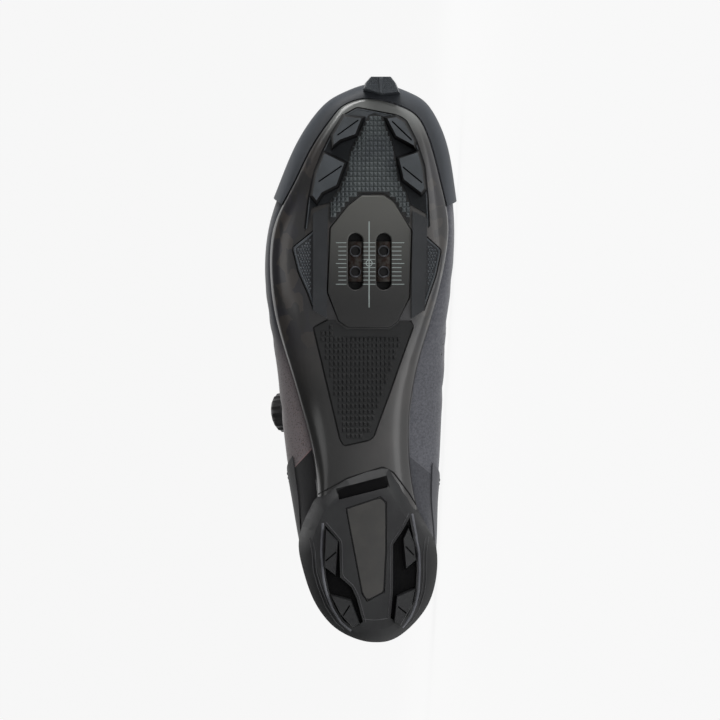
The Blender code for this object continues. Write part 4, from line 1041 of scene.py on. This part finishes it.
bm = bmesh.new()
block = Matrix.Translation((276.6, RIB_V, 0)) @ Matrix.Diagonal((8.6, 1.7, 1.6, 1))
bmesh.ops.create_cube(bm, size=1, matrix=block)
long_edges = [edge for edge in bm.edges if abs(edge.verts[0].co.x - edge.verts[1].co.x) > 1]
bmesh.ops.subdivide_edges(bm, edges=long_edges, cuts=8)
for vert in bm.verts:
    vert.co.y = RIB_V + (vert.co.y - RIB_V) * (0.75 + 0.07 * (vert.co.x - RIB_BACK))
    vert.co.z += below("toe_stud", vert.co.x, RIB_V) or LOWEST_STUD
bmesh.ops.bevel(bm, geom=bm.edges[:], offset=0.25, affect="EDGES", segments=1, profile=0.5, material=-1)
made("toe_stud_rib", bm, "rubber", STUDS)

# %% [markdown]
# ## Lace, guides and dial
#
# The lace is a thin cord that runs from guide to guide over the throat. The CAD holds its
# crossings as a plain tube, which already follows the real route, so its copy is smoothed.

# %% Lace and guides
lace = flowing(made("lace_cord", copied("lace_wire"), "lace", LACE, ["lace_wire"], 80), 1)
for side in ("lateral", "medial"):
    for number in (1, 2, 3):
        source = f"lace_guide_{side}_{number}"
        flowing(rounded(made(source + "_loop", copied(source), "lace", LACE, [source]), 0.4, 3), 1)

# %% [markdown]
# The dial is turned to tighten the lace. The CAD knob has its ridges already, so a bevel and
# a subdivision surface are enough to make them soft under the thumb.

# %% Dial knob
knob = copied("dial_knob")
print("dial knob:", len(knob.faces), "faces before smoothing")
knob_piece = made("dial_knob_moulded", knob, "dial_plastic", MOULDING, ["dial_knob"], 60)
flowing(rounded(knob_piece, 0.45))

# %% [markdown]
# ## Floor, light and camera
#
# The photograph looks straight at the sole, from a long way off, so its edges stay nearly
# parallel. A long lens two metres away gives that view. The camera is rolled a quarter turn
# because the shoe stands upright in the picture while it lies on its side on the floor.

# %% Camera
VIEW_CENTRE = Vector((140.0, -3.5, 0))
VIEW_WIDTH = 354.8
DISTANCE = 2000.0

lens = bpy.data.cameras.new("camera")
camera = bpy.data.objects.new("camera", lens)
bpy.context.scene.collection.objects.link(camera)
lens.sensor_width = 36
lens.lens = 36 * DISTANCE / VIEW_WIDTH
lens.clip_end = 20
eye = TO_ROW @ (VIEW_CENTRE - UP * DISTANCE)
turn = LAY.to_3x3() @ Matrix(((0, 1, 0), (1, 0, 0), (0, 0, -1))).transposed()
camera.matrix_world = Matrix.Translation(eye) @ turn.to_4x4()
bpy.context.scene.camera = camera
print("camera's height above the floor:", round(eye.z * 1000, 1), "mm")

# %% [markdown]
# The floor sweeps up behind the shoe into a pale backdrop without a visible line. A little
# glow of its own keeps it even, as a lit paper roll is in a studio.

# %% Paper sweep
paper = Finish("paper", Roughness=1.0, Specular_IOR_Level=0.0, Emission_Strength=0.895)
paper.shader.inputs["Emission Color"].default_value = (1, 1, 1, 1)
PAPER = paper.paint(tone("505050"))
sweep = bmesh.new()
profile = [Vector((-3, -2.6, 0)), Vector((-3, 1.6, 0))]
profile += [Vector((-3, 1.6 + sin(a * pi / 20), 1 - cos(a * pi / 20))) for a in range(1, 11)]
profile.append(Vector((-3, 2.6, 4)))
verts = [sweep.verts.new(point) for point in profile]
edges = [sweep.edges.new(pair) for pair in zip(verts, verts[1:])]
wide = bmesh.ops.extrude_edge_only(sweep, edges=edges)
far_side = [part for part in wide["geom"] if isinstance(part, bmesh.types.BMVert)]
bmesh.ops.translate(sweep, verts=far_side, vec=(6, 0, 0))
bmesh.ops.recalc_face_normals(sweep, faces=sweep.faces)
for face in sweep.faces:
    face.smooth = True
mesh = bpy.data.meshes.new("paper_sweep")
sweep.to_mesh(mesh)
sweep.free()
mesh.materials.append(PAPER)
floor = bpy.data.objects.new("paper_sweep", mesh)
bpy.context.scene.collection.objects.link(floor)

# %% [markdown]
# Soft boxes light the sole from above the toe and from both sides. They are large against
# the shoe, so the bevels show long gentle highlights instead of points. A dim card lies
# flat in front of the sole and lights its inner rim from below.

# %% Soft boxes
def soft_box(name, place, size, power):
    """A square area light that faces the middle of the shoe, placed in metres."""
    light = bpy.data.lights.new(name, "AREA")
    light.shape = "SQUARE"
    light.size = size
    light.energy = power
    lamp = bpy.data.objects.new(name, light)
    bpy.context.scene.collection.objects.link(lamp)
    lamp.location = place
    lamp.rotation_euler = (Vector((0, 0, 0.045)) - Vector(place)).to_track_quat("-Z", "Y").to_euler()
    return lamp


soft_box("above", (0.15, 0.3, 1.4), 1.0, 6)
soft_box("toe_side", (1.4, -0.30, 0.4), 0.9, 17)
soft_box("heel_side", (-1.3, -0.5, 0.4), 0.8, 2)
soft_box("front", (0.0, -1.8, 0.9), 0.9, 3.4)

card = bpy.data.lights.new("card", "AREA")
card.shape = "RECTANGLE"
card.size, card.size_y = 0.30, 0.10
card.energy = 0.13
card_lamp = bpy.data.objects.new("card", card)
bpy.context.scene.collection.objects.link(card_lamp)
card_lamp.location = (0.0, -0.115, 0.0012)
card_lamp.rotation_euler = (pi, 0, 0)

world = bpy.data.worlds.new("studio")
bpy.context.scene.world = world
world.use_nodes = True
world.node_tree.nodes["Background"].inputs["Color"].default_value = (1, 1, 1, 1)
world.node_tree.nodes["Background"].inputs["Strength"].default_value = 0.10
bpy.context.scene.view_settings.view_transform = "Standard"
